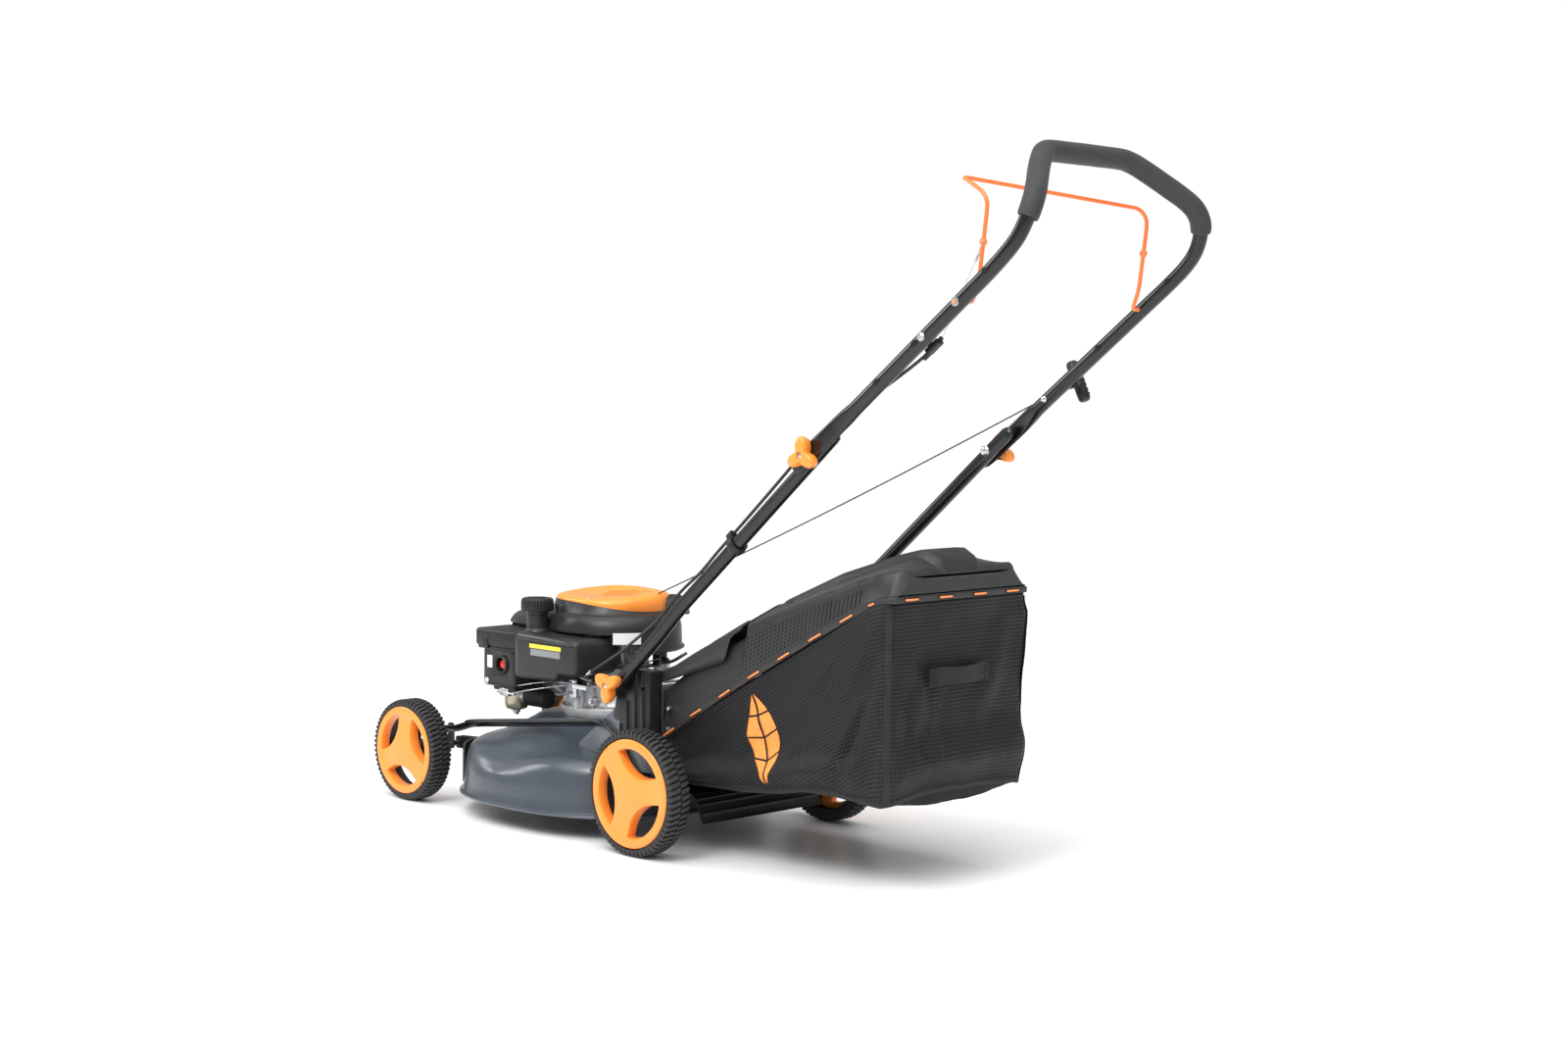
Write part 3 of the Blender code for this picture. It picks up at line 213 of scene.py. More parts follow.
def turned(profile, centre, axis="Z", steps=64):
    """Solid of revolution from (radius, height) points; closed if it starts and ends on the axis."""
    turn = {"Z": Matrix(), "X": Matrix.Rotation(math.pi / 2, 4, "Y"),
            "-X": Matrix.Rotation(-math.pi / 2, 4, "Y"), "Y": Matrix.Rotation(-math.pi / 2, 4, "X"),
            "-Y": Matrix.Rotation(math.pi / 2, 4, "X")}[axis]
    place = Matrix.Translation(centre) @ turn
    ring_points = [(r, h) for r, h in profile if r > 1e-9]
    on_axis = profile[0][0] < 1e-9
    rings = [[place @ Vector((r * math.cos(2 * math.pi * k / steps), r * math.sin(2 * math.pi * k / steps),
                              h)) for k in range(steps)] for r, h in ring_points]
    verts, faces = bridge(rings, ends=on_axis)
    if not on_axis:
        count = len(rings)
        for k in range(steps):
            j = (k + 1) % steps
            faces.append(((count - 1) * steps + k, (count - 1) * steps + j, j, k))
    return verts, faces


def sweep(points, radius, sides=20, section=None):
    """A round (or given) section carried along a path without twisting."""
    points = [Vector(p) for p in points]
    radii = radius if isinstance(radius, (list, tuple)) else [radius] * len(points)
    tangents = []
    for i in range(len(points)):
        before, after = points[max(i - 1, 0)], points[min(i + 1, len(points) - 1)]
        tangents.append((after - before).normalized())
    side = tangents[0].orthogonal().normalized()
    rings = []
    for i, point in enumerate(points):
        if i:
            side = tangents[i - 1].rotation_difference(tangents[i]) @ side
        side = (side - tangents[i] * side.dot(tangents[i])).normalized()
        other = tangents[i].cross(side)
        shape = section or [(math.cos(2 * math.pi * k / sides), math.sin(2 * math.pi * k / sides))
                            for k in range(sides)]
        rings.append([point + (side * a + other * b) * radii[i] for a, b in shape])
    return bridge(rings)


def polar(across, up, angle, radius):
    """Offset at an angle from across towards up."""
    return (across * math.cos(angle) + up * math.sin(angle)) * radius


def bend_of(start, corner, end, steps):
    """Points of the curve that rounds a corner."""
    shares = [k / steps for k in range(steps + 1)]
    return [start * (1 - t) ** 2 + corner * 2 * t * (1 - t) + end * t ** 2 for t in shares]


def rounded_path(points, radius, steps=8):
    """A polyline with its corners turned into bends; radius is a number or one for each corner."""
    points = [Vector(p) for p in points]
    path = [points[0]]
    for i in range(1, len(points) - 1):
        bend = radius[i - 1] if isinstance(radius, (list, tuple)) else radius
        a, b, c = points[i - 1:i + 2]
        into, out = (a - b), (c - b)
        reach = min(bend, into.length * 0.48, out.length * 0.48)
        start, end = b + into.normalized() * reach, b + out.normalized() * reach
        path += bend_of(start, b, end, steps)
    path.append(points[-1])
    return path


def smooth_path(points, samples=8):
    """Catmull-Rom curve through points."""
    points = [Vector(p) for p in points]
    padded = [2 * points[0] - points[1], *points, 2 * points[-1] - points[-2]]
    path = []
    for i in range(1, len(padded) - 2):
        a, b, c, d = padded[i - 1:i + 3]
        for k in range(samples):
            t = k / samples
            path.append(0.5 * (2 * b + (c - a) * t + (2 * a - 5 * b + 4 * c - d) * t ** 2
                               + (3 * b - a - 3 * c + d) * t ** 3))
    path.append(points[-1])
    return path


def rounded_outline(points, radius, steps=5):
    """A closed 2-D outline with round corners."""
    count, outline = len(points), []
    for i in range(count):
        a, b, c = Vector(points[i - 1]), Vector(points[i]), Vector(points[(i + 1) % count])
        reach = min(radius[i] if isinstance(radius, (list, tuple)) else radius,
                    (a - b).length * 0.48, (c - b).length * 0.48)
        start, end = b + (a - b).normalized() * reach, b + (c - b).normalized() * reach
        outline += bend_of(start, b, end, steps)
    return outline


def prism(outline, low_x, high_x, ease=0.0):
    """A (y, z) outline between two x planes, with its rims eased."""
    outline = [Vector(p) for p in outline]
    centre = sum(outline, Vector((0, 0))) / len(outline)

    def ring(x, inset):
        shrunk = [p + (centre - p).normalized() * inset for p in outline]
        return [(x, p.x, p.y) for p in shrunk]
    if not ease:
        return bridge([ring(low_x, 0), ring(high_x, 0)])
    sign = 1 if high_x > low_x else -1
    return bridge([ring(low_x, ease), ring(low_x + sign * ease * 0.3, ease * 0.3),
                   ring(low_x + sign * ease, 0), ring(high_x - sign * ease, 0),
                   ring(high_x - sign * ease * 0.3, ease * 0.3), ring(high_x, ease)])


def slab(low, high, radius=0.002, segments=3):
    """A box with rounded edges."""
    made = bmesh.new()
    bmesh.ops.create_cube(made, size=1)
    low, high = Vector(low), Vector(high)
    size = high - low
    bmesh.ops.transform(made, verts=made.verts,
                        matrix=Matrix.Translation((low + high) / 2) @ Matrix.Diagonal((*size, 1)))
    bmesh.ops.bevel(made, geom=made.edges[:], offset=min(radius, min(size) * 0.45), segments=segments,
                    profile=0.5, affect="EDGES")
    made.verts.index_update()
    geometry = [v.co.copy() for v in made.verts], [tuple(v.index for v in f.verts) for f in made.faces]
    made.free()
    return geometry


def peg(start, end, radius, sides=24, ease=0.0):
    """A round pin between two points with eased ends."""
    start, end = Vector(start), Vector(end)
    along = (end - start).normalized()
    if ease:
        points = [start, start + along * ease * 0.3, start + along * ease, end - along * ease,
                  end - along * ease * 0.3, end]
        return sweep(points, [radius - ease, radius - ease * 0.3, radius, radius, radius - ease * 0.3,
                              radius - ease], sides)
    return sweep([start, end], radius, sides)


def bolt(head, axis, radius=0.0045, height=0.003):
    """A hexagon bolt head on a washer."""
    head, axis = Vector(head), Vector(axis).normalized()
    shape = Shape(peg(head, head + axis * 0.0008, radius * 1.35, 20),
                  sweep([head + axis * 0.0006, head + axis * height * 0.8, head + axis * height],
                        [radius, radius, radius * 0.82], 6))
    return shape.verts, shape.faces


def hump(value, centre, width):
    """Smooth bump: 1 at the centre, falling to 0 within a few widths."""
    return math.exp(-((value - centre) / width) ** 2)


def leg_z(y):
    return UPPER_KNOB[1] + (UPPER_KNOB[0] - y) * math.tan(LEG_ANGLE)


# ---------------------------------------------------------------- materials
def feed(tree, node, inputs):
    """Set a node's inputs: a socket is linked, anything else is the input's value."""
    for key, value in inputs.items():
        if isinstance(value, bpy.types.NodeSocket):
            tree.links.new(value, node.inputs[key])
        else:
            node.inputs[key].default_value = value


def add_node(tree, kind, inputs, output):
    """A new shader node's output."""
    node = tree.nodes.new("ShaderNode" + kind)
    if kind == "Mix":
        node.data_type = "RGBA"
    feed(tree, node, inputs)
    return node.outputs[output]


def noise_of(tree, place, scale, detail):
    return add_node(tree, "TexNoise", {"Scale": scale, "Detail": detail, "Vector": place}, "Fac")


def blended(tree, factor, tint, colour):
    return add_node(tree, "Mix", {"Factor": factor, "A": tint, "B": (*colour, 1)}, "Result")


def remapped(tree, value, low, high, to_low, to_high):
    return add_node(tree, "MapRange", {"From Min": low, "From Max": high, "To Min": to_low,
                                       "To Max": to_high, "Value": value}, "Result")


DUST = (0.35, 0.33, 0.3)


def look(name, colour, rough, metal=0.0, spread=0.1, patch=18.0, grain=900.0, depth=0.00008, coat=0.0,
         sheen=0.0, worn=None, rough_spread=0.08, dust=0.0, specular=0.5):
    """A finish with uneven colour and gloss, fine grain and, if worn is a colour, rubbed edges."""
    made = bpy.data.materials.new(name)
    made.use_nodes = True
    tree = made.node_tree
    shader = tree.nodes["Principled BSDF"]
    feed(tree, shader, {"Metallic": metal, "Coat Weight": coat, "Coat Roughness": 0.12,
                        "Sheen Weight": sheen, "Specular IOR Level": specular})
    place = tree.nodes.new("ShaderNodeTexCoord").outputs["Object"]
    patches = noise_of(tree, place, patch, 5)
    ramp = tree.nodes.new("ShaderNodeValToRGB")
    dark, light = ramp.color_ramp.elements
    dark.position, light.position = 0.3, 0.7
    dark.color = (*[c * (1 - spread) for c in colour], 1)
    light.color = (*[min(1, c * (1 + spread)) for c in colour], 1)
    tree.links.new(patches, ramp.inputs["Fac"])
    tint = ramp.outputs["Color"]
    if worn:
        edges = add_node(tree, "NewGeometry", {}, "Pointiness")
        tint = blended(tree, remapped(tree, edges, 0.53, 0.62, 0.0, 0.6), tint, worn)
    if dust:
        tint = blended(tree, remapped(tree, noise_of(tree, place, 70, 8), 0.5, 0.8, 0.0, dust), tint, DUST)
    gloss = remapped(tree, patches, 0.3, 0.7, max(0.03, rough - rough_spread), min(1, rough + rough_spread))
    bump = add_node(tree, "Bump", {"Distance": depth, "Strength": 0.8,
                                   "Height": noise_of(tree, place, grain, 3)}, "Normal")
    feed(tree, shader, {"Base Color": tint, "Roughness": gloss, "Normal": bump})
    return made


def mesh_cloth(name, colour, pitch_u, pitch_v, depth, hole_light):
    """Open woven cloth: threads both ways in the UV's metres, with slack patches and painted light, a lighter
    colour where the holes mask is high.
    """
    made = look(name, colour, 0.52, spread=0.25, patch=9.0, specular=0.3, rough_spread=0.1)
    tree = made.node_tree
    shader = tree.nodes["Principled BSDF"]
    uv = tree.nodes.new("ShaderNodeUVMap")
    uv.uv_map = "cloth"
    axes = tree.nodes.new("ShaderNodeSeparateXYZ")
    tree.links.new(uv.outputs["UV"], axes.inputs["Vector"])

    def maths(kind, first, second=0.5):
        node = tree.nodes.new("ShaderNodeMath")
        node.operation = kind
        feed(tree, node, {0: first, 1: second})
        return node.outputs["Value"]
    waves = []
    for axis, pitch in (("X", pitch_u), ("Y", pitch_v)):
        phase = maths("MULTIPLY", axes.outputs[axis], 2 * math.pi / pitch)
        waves.append(maths("MULTIPLY", maths("ADD", maths("SINE", phase), 1.0), 0.5))
    bump = next(n for n in tree.nodes if n.bl_idname == "ShaderNodeBump")
    feed(tree, bump, {"Height": maths("MAXIMUM", *waves), "Distance": depth, "Strength": 1.0})
    # painted light: the weave is lightened towards hole_light where the holes mask is high, standing in for
    # light showing through the mesh
    holes = maths("POWER", maths("MULTIPLY", *waves), 1.5)
    tint = shader.inputs["Base Color"].links[0].from_socket
    feed(tree, shader, {"Base Color": blended(tree, holes, tint, hole_light)})
    return made


DECK = look("slate_paint", (0.054, 0.067, 0.082), 0.32, metal=0.15, spread=0.06, grain=1400, depth=0.00006,
            coat=0.25, worn=(0.15, 0.17, 0.19), rough_spread=0.05)
GLOSS_BLACK = look("gloss_black_paint", (0.0045, 0.0045, 0.005), 0.2, spread=0.2, grain=700, depth=0.00003,
                   coat=0.1, worn=(0.03, 0.03, 0.03), rough_spread=0.05, specular=0.42)
BLACK = look("black_plastic_grained", (0.008, 0.008, 0.0085), 0.4, spread=0.15, grain=1600, depth=0.00012,
             worn=(0.04, 0.04, 0.042), dust=0.02, specular=0.36)
TANK = look("tank_plastic", (0.0185, 0.0185, 0.02), 0.36, spread=0.12, grain=1200, depth=0.0001,
            worn=(0.04, 0.04, 0.042), dust=0.02, specular=0.38)
LID = look("lid_plastic_grained", (0.0225, 0.0228, 0.0235), 0.42, spread=0.1, grain=1500, depth=0.00016,
           worn=(0.05, 0.05, 0.052), dust=0.015, specular=0.36)
ORANGE = look("orange_plastic_satin", (1.0, 0.298, 0.038), 0.33, spread=0.04, grain=1100, depth=0.00005,
              coat=0.15, rough_spread=0.05)
ORANGE_WIRE = look("orange_wire_paint", (0.93, 0.19, 0.035), 0.38, spread=0.08, grain=900, depth=0.00006,
                   worn=(0.95, 0.45, 0.2))
RUBBER = look("tyre_rubber_dusty", (0.012, 0.012, 0.0125), 0.6, spread=0.25, patch=60, grain=800,
              depth=0.0002, worn=(0.05, 0.05, 0.05), dust=0.05, specular=0.4)
FOAM = look("foam_skin", (0.034, 0.035, 0.037), 0.6, spread=0.15, patch=40, grain=2200, depth=0.0003,
            sheen=0.05, specular=0.35)
FOAM_CUT = look("foam_cut_end", (0.012, 0.012, 0.012), 0.9, spread=0.3, patch=300, grain=1500, depth=0.0006)
CAST = look("cast_aluminium_grainy", (0.66, 0.67, 0.68), 0.4, metal=0.75, spread=0.18, patch=45, grain=900,
            depth=0.0004, worn=(0.75, 0.76, 0.78), rough_spread=0.12, dust=0.12)
ZINC = look("zinc_plate", (0.62, 0.64, 0.66), 0.28, metal=1.0, spread=0.12, patch=90, grain=1500,
            depth=0.00004)
DARK_STEEL = look("dark_steel_phosphate", (0.1, 0.1, 0.11), 0.42, metal=0.85, spread=0.25, patch=60,
                  grain=900, depth=0.0001, worn=(0.25, 0.25, 0.26))
BLADE = look("blade_steel", (0.16, 0.16, 0.17), 0.38, metal=0.95, spread=0.3, patch=30, grain=500,
             depth=0.0001, worn=(0.5, 0.5, 0.52))
MUFFLER = look("muffler_heat", (0.11, 0.095, 0.085), 0.5, metal=0.8, spread=0.4, patch=25, grain=600,
               depth=0.0002)
RED = look("primer_red", (0.72, 0.022, 0.012), 0.22, spread=0.1, patch=60, coat=0.3)
SHEATH = look("cable_sheath_black", (0.014, 0.014, 0.014), 0.38, spread=0.15, patch=80, grain=900,
              depth=0.00005)
ROPE = look("braided_cord", (0.035, 0.035, 0.038), 0.8, spread=0.4, patch=900, grain=2500, depth=0.0003)
YELLOW = look("yellow_strip", (0.95, 0.78, 0.03), 0.35, spread=0.03, coat=0.2)
PALE = look("pale_label", (0.8, 0.8, 0.8), 0.4, spread=0.05)
GREY_BAND = look("label_grey_band", (0.22, 0.23, 0.25), 0.4, spread=0.1)
# near-black sheet used as painted shade inside slots and holes
HOLE_SHADE = look("hole_shadow", (0.004, 0.004, 0.004), 0.95, spread=0.3)
TERMINAL = look("insulator_black", (0.014, 0.014, 0.015), 0.35, spread=0.2)
# the last colour of each weave is painted light showing through its holes
CLOTH = mesh_cloth("black_mesh_cloth", (0.003, 0.0031, 0.0034), 0.0042, 0.006, 0.001, (0.034, 0.036, 0.041))
WEBBING = mesh_cloth("webbing", (0.01, 0.01, 0.011), 0.0022, 0.003, 0.0005, (0.026, 0.026, 0.028))
BINDING = mesh_cloth("binding_tape", (0.012, 0.012, 0.013), 0.0018, 0.0018, 0.0003, (0.03, 0.03, 0.032))


# ---------------------------------------------------------------- wheels
def lens_opening(rim, angle):
    """Leaf-shaped opening in a cover: an arc along the rim, and one bowed towards the hub."""
    outer_r, inner_d, inner_r = 0.835 * rim, 1.15 * rim, 0.79 * rim
    half = math.radians(45)
    outline = [(outer_r * math.cos(t), outer_r * math.sin(t)) for t in np.linspace(-half, half, 15)]
    tip = outline[-1]
    swing = math.atan2(tip[1], inner_d - tip[0])
    outline += [(inner_d - inner_r * math.cos(t), inner_r * math.sin(t))
                for t in np.linspace(swing, -swing, 15)[1:-1]]
    outline = rounded_outline(outline, 0.07 * rim, 3)
    turn = Matrix.Rotation(angle, 2)
    return [turn @ Vector(p) for p in outline]


def make_wheel(name, side, front):
    radius = FRONT_RADIUS if front else REAR_RADIUS
    low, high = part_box("wheel_" + name)
    centre = Vector((side * (max(abs(low.x), abs(high.x)) - HALF_TYRE), FRONT_Y if front else 0.0, radius))
    axis = "X" if side > 0 else "-X"
    body = "wheel_" + name
    # carcass, seat ring, hub and spokes behind the cover
    carcass = [(0.885 * radius, 0.0215), (radius - 0.0125, 0.0215), (radius - 0.0075, 0.0202),
               (radius - 0.0042, 0.0165), (radius - 0.0034, 0.008), (radius - 0.0034, -0.008),
               (radius - 0.0042, -0.0165), (radius - 0.0075, -0.0202), (radius - 0.0125, -0.0215),
               (0.84 * radius, -0.0215), (0.8 * radius, -0.02), (0.8 * radius, 0.004),
               (0.885 * radius, 0.004)]
    tyre = Shape(turned(carcass, centre, axis, 120))
    lugs, spread = 62, 0.62
    for row in (-1, 1):
        for k in range(lugs):
            middle = 2 * math.pi * (k + (0.25 if row > 0 else -0.25)) / lugs
            half = math.pi / lugs * spread
            top = [(radius - 0.0002, 0.0012), (radius - 0.0001, 0.014), (radius - 0.0022, 0.0196),
                   (radius - 0.0105, 0.0213)]
            foot = [(radius - 0.005, 0.0012), (radius - 0.0055, 0.014), (radius - 0.008, 0.0185),
                    (radius - 0.0125, 0.0198)]
            rings = []
            for edge, inset in ((-half, False), (-half * 0.72, True), (half * 0.72, True), (half, False)):
                ring = []
                for r, h in [(r - (0 if inset else 0.0009), h) for r, h in top] + foot[::-1]:
                    t = middle + edge + LUG_LEAN * row * h
                    ring.append(centre + Vector((side * row * h, r * math.cos(t), r * math.sin(t))))
                rings.append(ring)
            tyre.add(bridge(rings))
    emit("tyre_" + name, tyre, RUBBER, body, ["wheel_" + name], smooth=32)
    inward = -side
    hub = Shape(turned([(0.0064, -0.024), (0.0155, -0.024), (0.0165, -0.022), (0.0185, 0.003),
                        (0.0064, 0.003)], centre, axis, 32))
    for k in range(3):
        angle = math.radians(120 * k + 60 + WINDOW_TURN[front])
        arm = Vector((0, math.cos(angle), math.sin(angle)))
        base = centre + Vector((inward * 0.009, 0, 0))
        hub.add(sweep([base + arm * 0.012, base + arm * 0.45 * radius, base + arm * 0.81 * radius],
                      [0.0075, 0.0065, 0.009], 12))
    hub.add(turned([(0.79 * radius, -0.006), (0.815 * radius, -0.006), (0.815 * radius, 0.003),
                    (0.79 * radius, 0.003)], centre, axis, 72))
    emit("wheel_hub_" + name, hub, BLACK, body)

    # cover: dished star with three deep leaf openings
    rim = 0.868 * radius
    face = HALF_TYRE + 0.0028
    dish = [(0, face + 0.0004), (rim * 0.16, face), (rim * 0.34, face - 0.001), (rim * 0.62, face - 0.003),
            (rim * 0.8, face - 0.0034), (rim * 0.86, face - 0.002), (rim * 0.95, face - 0.0018),
            (rim * 0.985, face - 0.003), (rim, face - 0.0055), (rim, 0.0055), (rim * 0.96, 0.0045),
            (0, 0.0045)]
    base = turned(dish, centre, axis, 96)
    cuts = []
    for k in range(3):
        outline = lens_opening(rim, math.radians(120 * k + WINDOW_TURN[front]))
        rings = []
        for depth, grow in ((0.04, 1.0), (face + 0.0015, 1.0), (face - 0.0045, 0.94), (0.0, 0.9)):
            mid = sum(outline, Vector((0, 0))) / len(outline)
            rings.append([centre + Vector((side * depth, *(mid + (p - mid) * grow))) for p in outline])
        cuts.append(bridge(rings))
    notch_angle = math.radians(NOTCH_TURN[front])
    notch = centre + Vector((0, math.cos(notch_angle), math.sin(notch_angle))) * rim * 0.975
    cuts.append(turned([(0, 0.03), (0.0022, 0.03), (0.0022, 0.018), (0, 0.018)], notch, axis, 12))
    emit("cover_" + name, carved(base, cut=cuts), ORANGE, body, ["wheel_cover_" + name],
         bevel=0.0013, smooth=50)


for position, hand, is_front in (("front_left", -1, True), ("front_right", 1, True),
                                 ("rear_left", -1, False), ("rear_right", 1, False)):
    make_wheel(position, hand, is_front)


# ---------------------------------------------------------------- axles and height adjustment
AXLES = {True: (FRONT_Y - 0.048, FRONT_RADIUS + 0.0105, FRONT_Y, FRONT_RADIUS, 0.1945, "front_axle"),
         False: (0.048, REAR_RADIUS + 0.0105, 0.0, REAR_RADIUS, 0.2235, "rear_axle")}


def make_axle(front):
    pivot_y, pivot_z, wheel_y, wheel_z, track, body = AXLES[front]
    half = [(track + 0.0025, wheel_y, wheel_z), (0.162, wheel_y, wheel_z), (0.146, pivot_y, pivot_z)]
    path = [(-x, y, z) for x, y, z in half] + half[::-1]
    rod = Shape(sweep(rounded_path(path, 0.009, 5), 0.005, 18))
    for hand in (-1, 1):
        rod.add(peg((hand * 0.166, wheel_y, wheel_z), (hand * (track + 0.0025), wheel_y, wheel_z), 0.006,
                    24, 0.0008))
        rod.add(peg((hand * (track - 0.026), wheel_y, wheel_z), (hand * (track - 0.0285), wheel_y, wheel_z),
                    0.0095, 24, 0.0006))
    emit(body + "_rod", rod, DARK_STEEL, body, [body])
    pin_z = pivot_z + (0.03 if front else -0.03)
    emit(body + "_link_tab", [prism(rounded_outline([(pivot_y - 0.009,
            pivot_z - (0.009 if front else -0.009)),
            (pivot_y + 0.009, pivot_z - (0.009 if front else -0.009)),
            (pivot_y + 0.008, pin_z + (0.008 if front else -0.008)),
            (pivot_y - 0.008, pin_z + (0.008 if front else -0.008))], 0.006), -0.146, -0.143, 0.0005),
                              peg((-0.1635, pivot_y, pin_z), (-0.144, pivot_y, pin_z), 0.004, 20, 0.0006)],
         DARK_STEEL, body)
    if front:
        line = rounded_path([(0.143, pivot_y, pivot_z), (0.143, pivot_y - 0.012, pivot_z + 0.05),
                             (0.143, pivot_y - 0.05, pivot_z + 0.135)], 0.03, 6)
        bar = sweep(line, 1.0, section=[(0.0022 * a, 0.008 * b) for a, b in
                                        ((1, 1), (-1, 1), (-1, -1), (1, -1))])
        emit("height_lever", bar, DARK_STEEL, body, bevel=0.0007)
        knob = sweep([(0.139, *line[-1][1:]), (0.141, *line[-1][1:]), (0.146, *line[-1][1:]),
                      (0.162, *line[-1][1:]), (0.174, *line[-1][1:]), (0.178, *line[-1][1:])],
                     [0.008, 0.0105, 0.0112, 0.01, 0.011, 0.008], 28)
        emit("height_lever_knob", knob, BLACK, body)


make_axle(True)
make_axle(False)


def make_height_link():
    """Flat bar with rolled edges along the deck's left shoulder, and its counter spring."""
    front_y, front_z = AXLES[True][0], AXLES[True][1] + 0.03
    rear_y, rear_z = AXLES[False][0], AXLES[False][1] - 0.03
    line = [(-0.1665, front_y, front_z), (-0.1665, 0.552, 0.1335), (-0.1665, 0.505, 0.148),
            (-0.1665, 0.484, 0.151), (-0.1665, 0.165, 0.189), (-0.1665, 0.145, 0.186),
            (-0.1665, 0.112, 0.165), (-0.1665, rear_y, rear_z)]
    path = rounded_path(line, [0.014, 0.016, 0.012, 0.012, 0.016, 0.022], 6)
    section = [(0.0021 * a, 0.0072 * b) for a, b in ((1, 0.86), (0.8, 1), (-0.8, 1), (-1, 0.86),
            (-1, -0.86), (-0.8, -1), (0.8, -1), (1, -0.86))]
    bar = Shape(sweep(path, 1.0, section=section))
    flange = [p + Vector((-0.0028, 0, 0.0055)) for p in path[8:-9]]
    bar.add(sweep(flange, 1.0, section=[(0.0014 * a, 0.0034 * b)
                                        for a, b in ((1, 1), (-1, 1), (-1, -1), (1, -1))]))
    emit("height_link_bar", bar, GLOSS_BLACK, "height_link", ["height_link"], bevel=0.0004)
    pins = [bolt((-0.1687, y, z), (-1, 0, 0), 0.0052, 0.0034)
            for y, z in ((front_y, front_z), (rear_y, rear_z))]
    steel("height_link_bolts", pins, "height_link")
    start, end = Vector((-0.1545, 0.44, 0.154)), Vector((-0.1545, 0.285, 0.176))
    along = (end - start).normalized()
    side = Vector((1, 0, 0))
    up = along.cross(side)
    length, turns = (end - start).length, 34
    coil = []
    for k in range(turns * 12 + 1):
        t = k / (turns * 12)
        a = 2 * math.pi * turns * t
        coil.append(start + along * (0.012 + (length - 0.024) * t) + polar(side, up, a, 0.0034))
    spring = Shape(sweep(coil, 0.00095, 6))
    for place, way in ((start, 1), (end, -1)):
        hook = [place + along * way * (0.012 - 0.0125 * t) + up * 0.0036 * math.cos(2.6 * t * math.pi / 2)
                for t in np.linspace(0, 1, 10)]
        spring.add(sweep(hook, 0.00095, 6))
    emit("height_spring_coil", spring, ZINC, "root", ["height_spring"], smooth=60)


make_height_link()


# ---------------------------------------------------------------- deck
# half width and height: rolled lip, skirt, shoulder, crown
DECK_LEVELS = (
    (0.2495, 0.036), (0.2515, 0.0365), (0.2525, 0.0388), (0.2515, 0.0412), (0.248, 0.0432), (0.2465, 0.047),
    (0.245, 0.06), (0.244, 0.075), (0.2425, 0.092), (0.2405, 0.105), (0.237, 0.115), (0.231, 0.1225),
    (0.222, 0.128), (0.212, 0.1318), (0.2, 0.1352), (0.186, 0.14), (0.165, 0.15), (0.145, 0.16),
    (0.13, 0.169), (0.122, 0.174), (0.115, 0.176))


def deck_ring(half, z, steps=128):
    ring = []
    for i in range(steps):
        angle = 2 * math.pi * (i + 0.5) / steps
        c, s = math.cos(angle), math.sin(angle)
        x = half * math.copysign(abs(c) ** 0.8, c)
        y = (half + 0.001) * math.copysign(abs(s) ** 0.8, s)
        ring.append(Vector((x, ENGINE_Y + y, z)))
    return ring


def deck_skin(offset, low=0.0, scoop=0.0):
    """The pressed shell grown by offset, with shallow scoops in its shoulders under the link bar."""
    rings = []
    for n, (half, z) in enumerate(DECK_LEVELS):
        ring = deck_ring(half + offset, z + (offset if z > 0.1 else 0) - (low if n == 0 else 0))
        if z > 0.075:
            for p in ring:
                dip = hump(p.y, 0.345, 0.085) / (1 + math.exp((0.15 - abs(p.x)) / 0.014))
                shelf = hump(z, 0.126, 0.024)
                p.z -= scoop * dip * shelf
                p.x -= math.copysign(scoop * 0.35 * dip * hump(z, 0.112, 0.016), p.x)
        rings.append(ring)
    return bridge(rings)


def make_deck():
    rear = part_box("deck")[0].y - REAR_Y
    chute_half, wall = 0.163, 0.0025

    def chute(grow, back):
        outline = [(back, 0.12 - grow), (0.215, 0.12 - grow), (0.215, 0.15 + grow), (0.185, 0.174 + grow),
                   (0.065, 0.262 + grow), (back, 0.262 + grow)]
        return prism(rounded_outline(outline, [0.0, 0.0, 0.002, 0.01, 0.02, 0.0], 4), -chute_half - grow,
                     chute_half + grow)
    shell = carved(deck_skin(0, scoop=0.02), add=[chute(0, rear)])
    shell = carved(shell, cut=[carved(deck_skin(-wall, low=0.02, scoop=0.02),
                                      add=[chute(-wall, rear - 0.02)])])
    pivot_y, pivot_z = AXLES[False][:2]
    saddles = [slab((hand * 0.125 - 0.006, pivot_y - 0.011, pivot_z - 0.01),
                    (hand * 0.125 + 0.006, pivot_y + 0.011, 0.121), 0.001) for hand in (-1, 1)]
    bores = [peg((-0.2, pivot_y, pivot_z), (0.2, pivot_y, pivot_z), 0.0054, 24),
             peg((0, ENGINE_Y, 0.15), (0, ENGINE_Y, 0.19), 0.03, 48)]
    emit("deck_shell", carved(shell, add=saddles, cut=bores), DECK, "root", ["deck"],
         smooth=30)
    plate = prism(rounded_outline([(0.052, 0.2625), (0.064, 0.2625), (0.064, 0.265), (0.052, 0.265)],
                                  0.0005, 2), -0.12, 0.12)
    emit("deck_hinge_rail", plate, DECK, "root")
    heads = [bolt((x, y, z), way, 0.0048, 0.0035) for half, y, z, way in ((0.15, 0.085, 0.2485, (0, 0.59,
            0.81)), (0.105, 0.235, 0.163, (0, 0, 1))) for x in (-half, half)]
    steel("deck_bolts", heads)


make_deck()


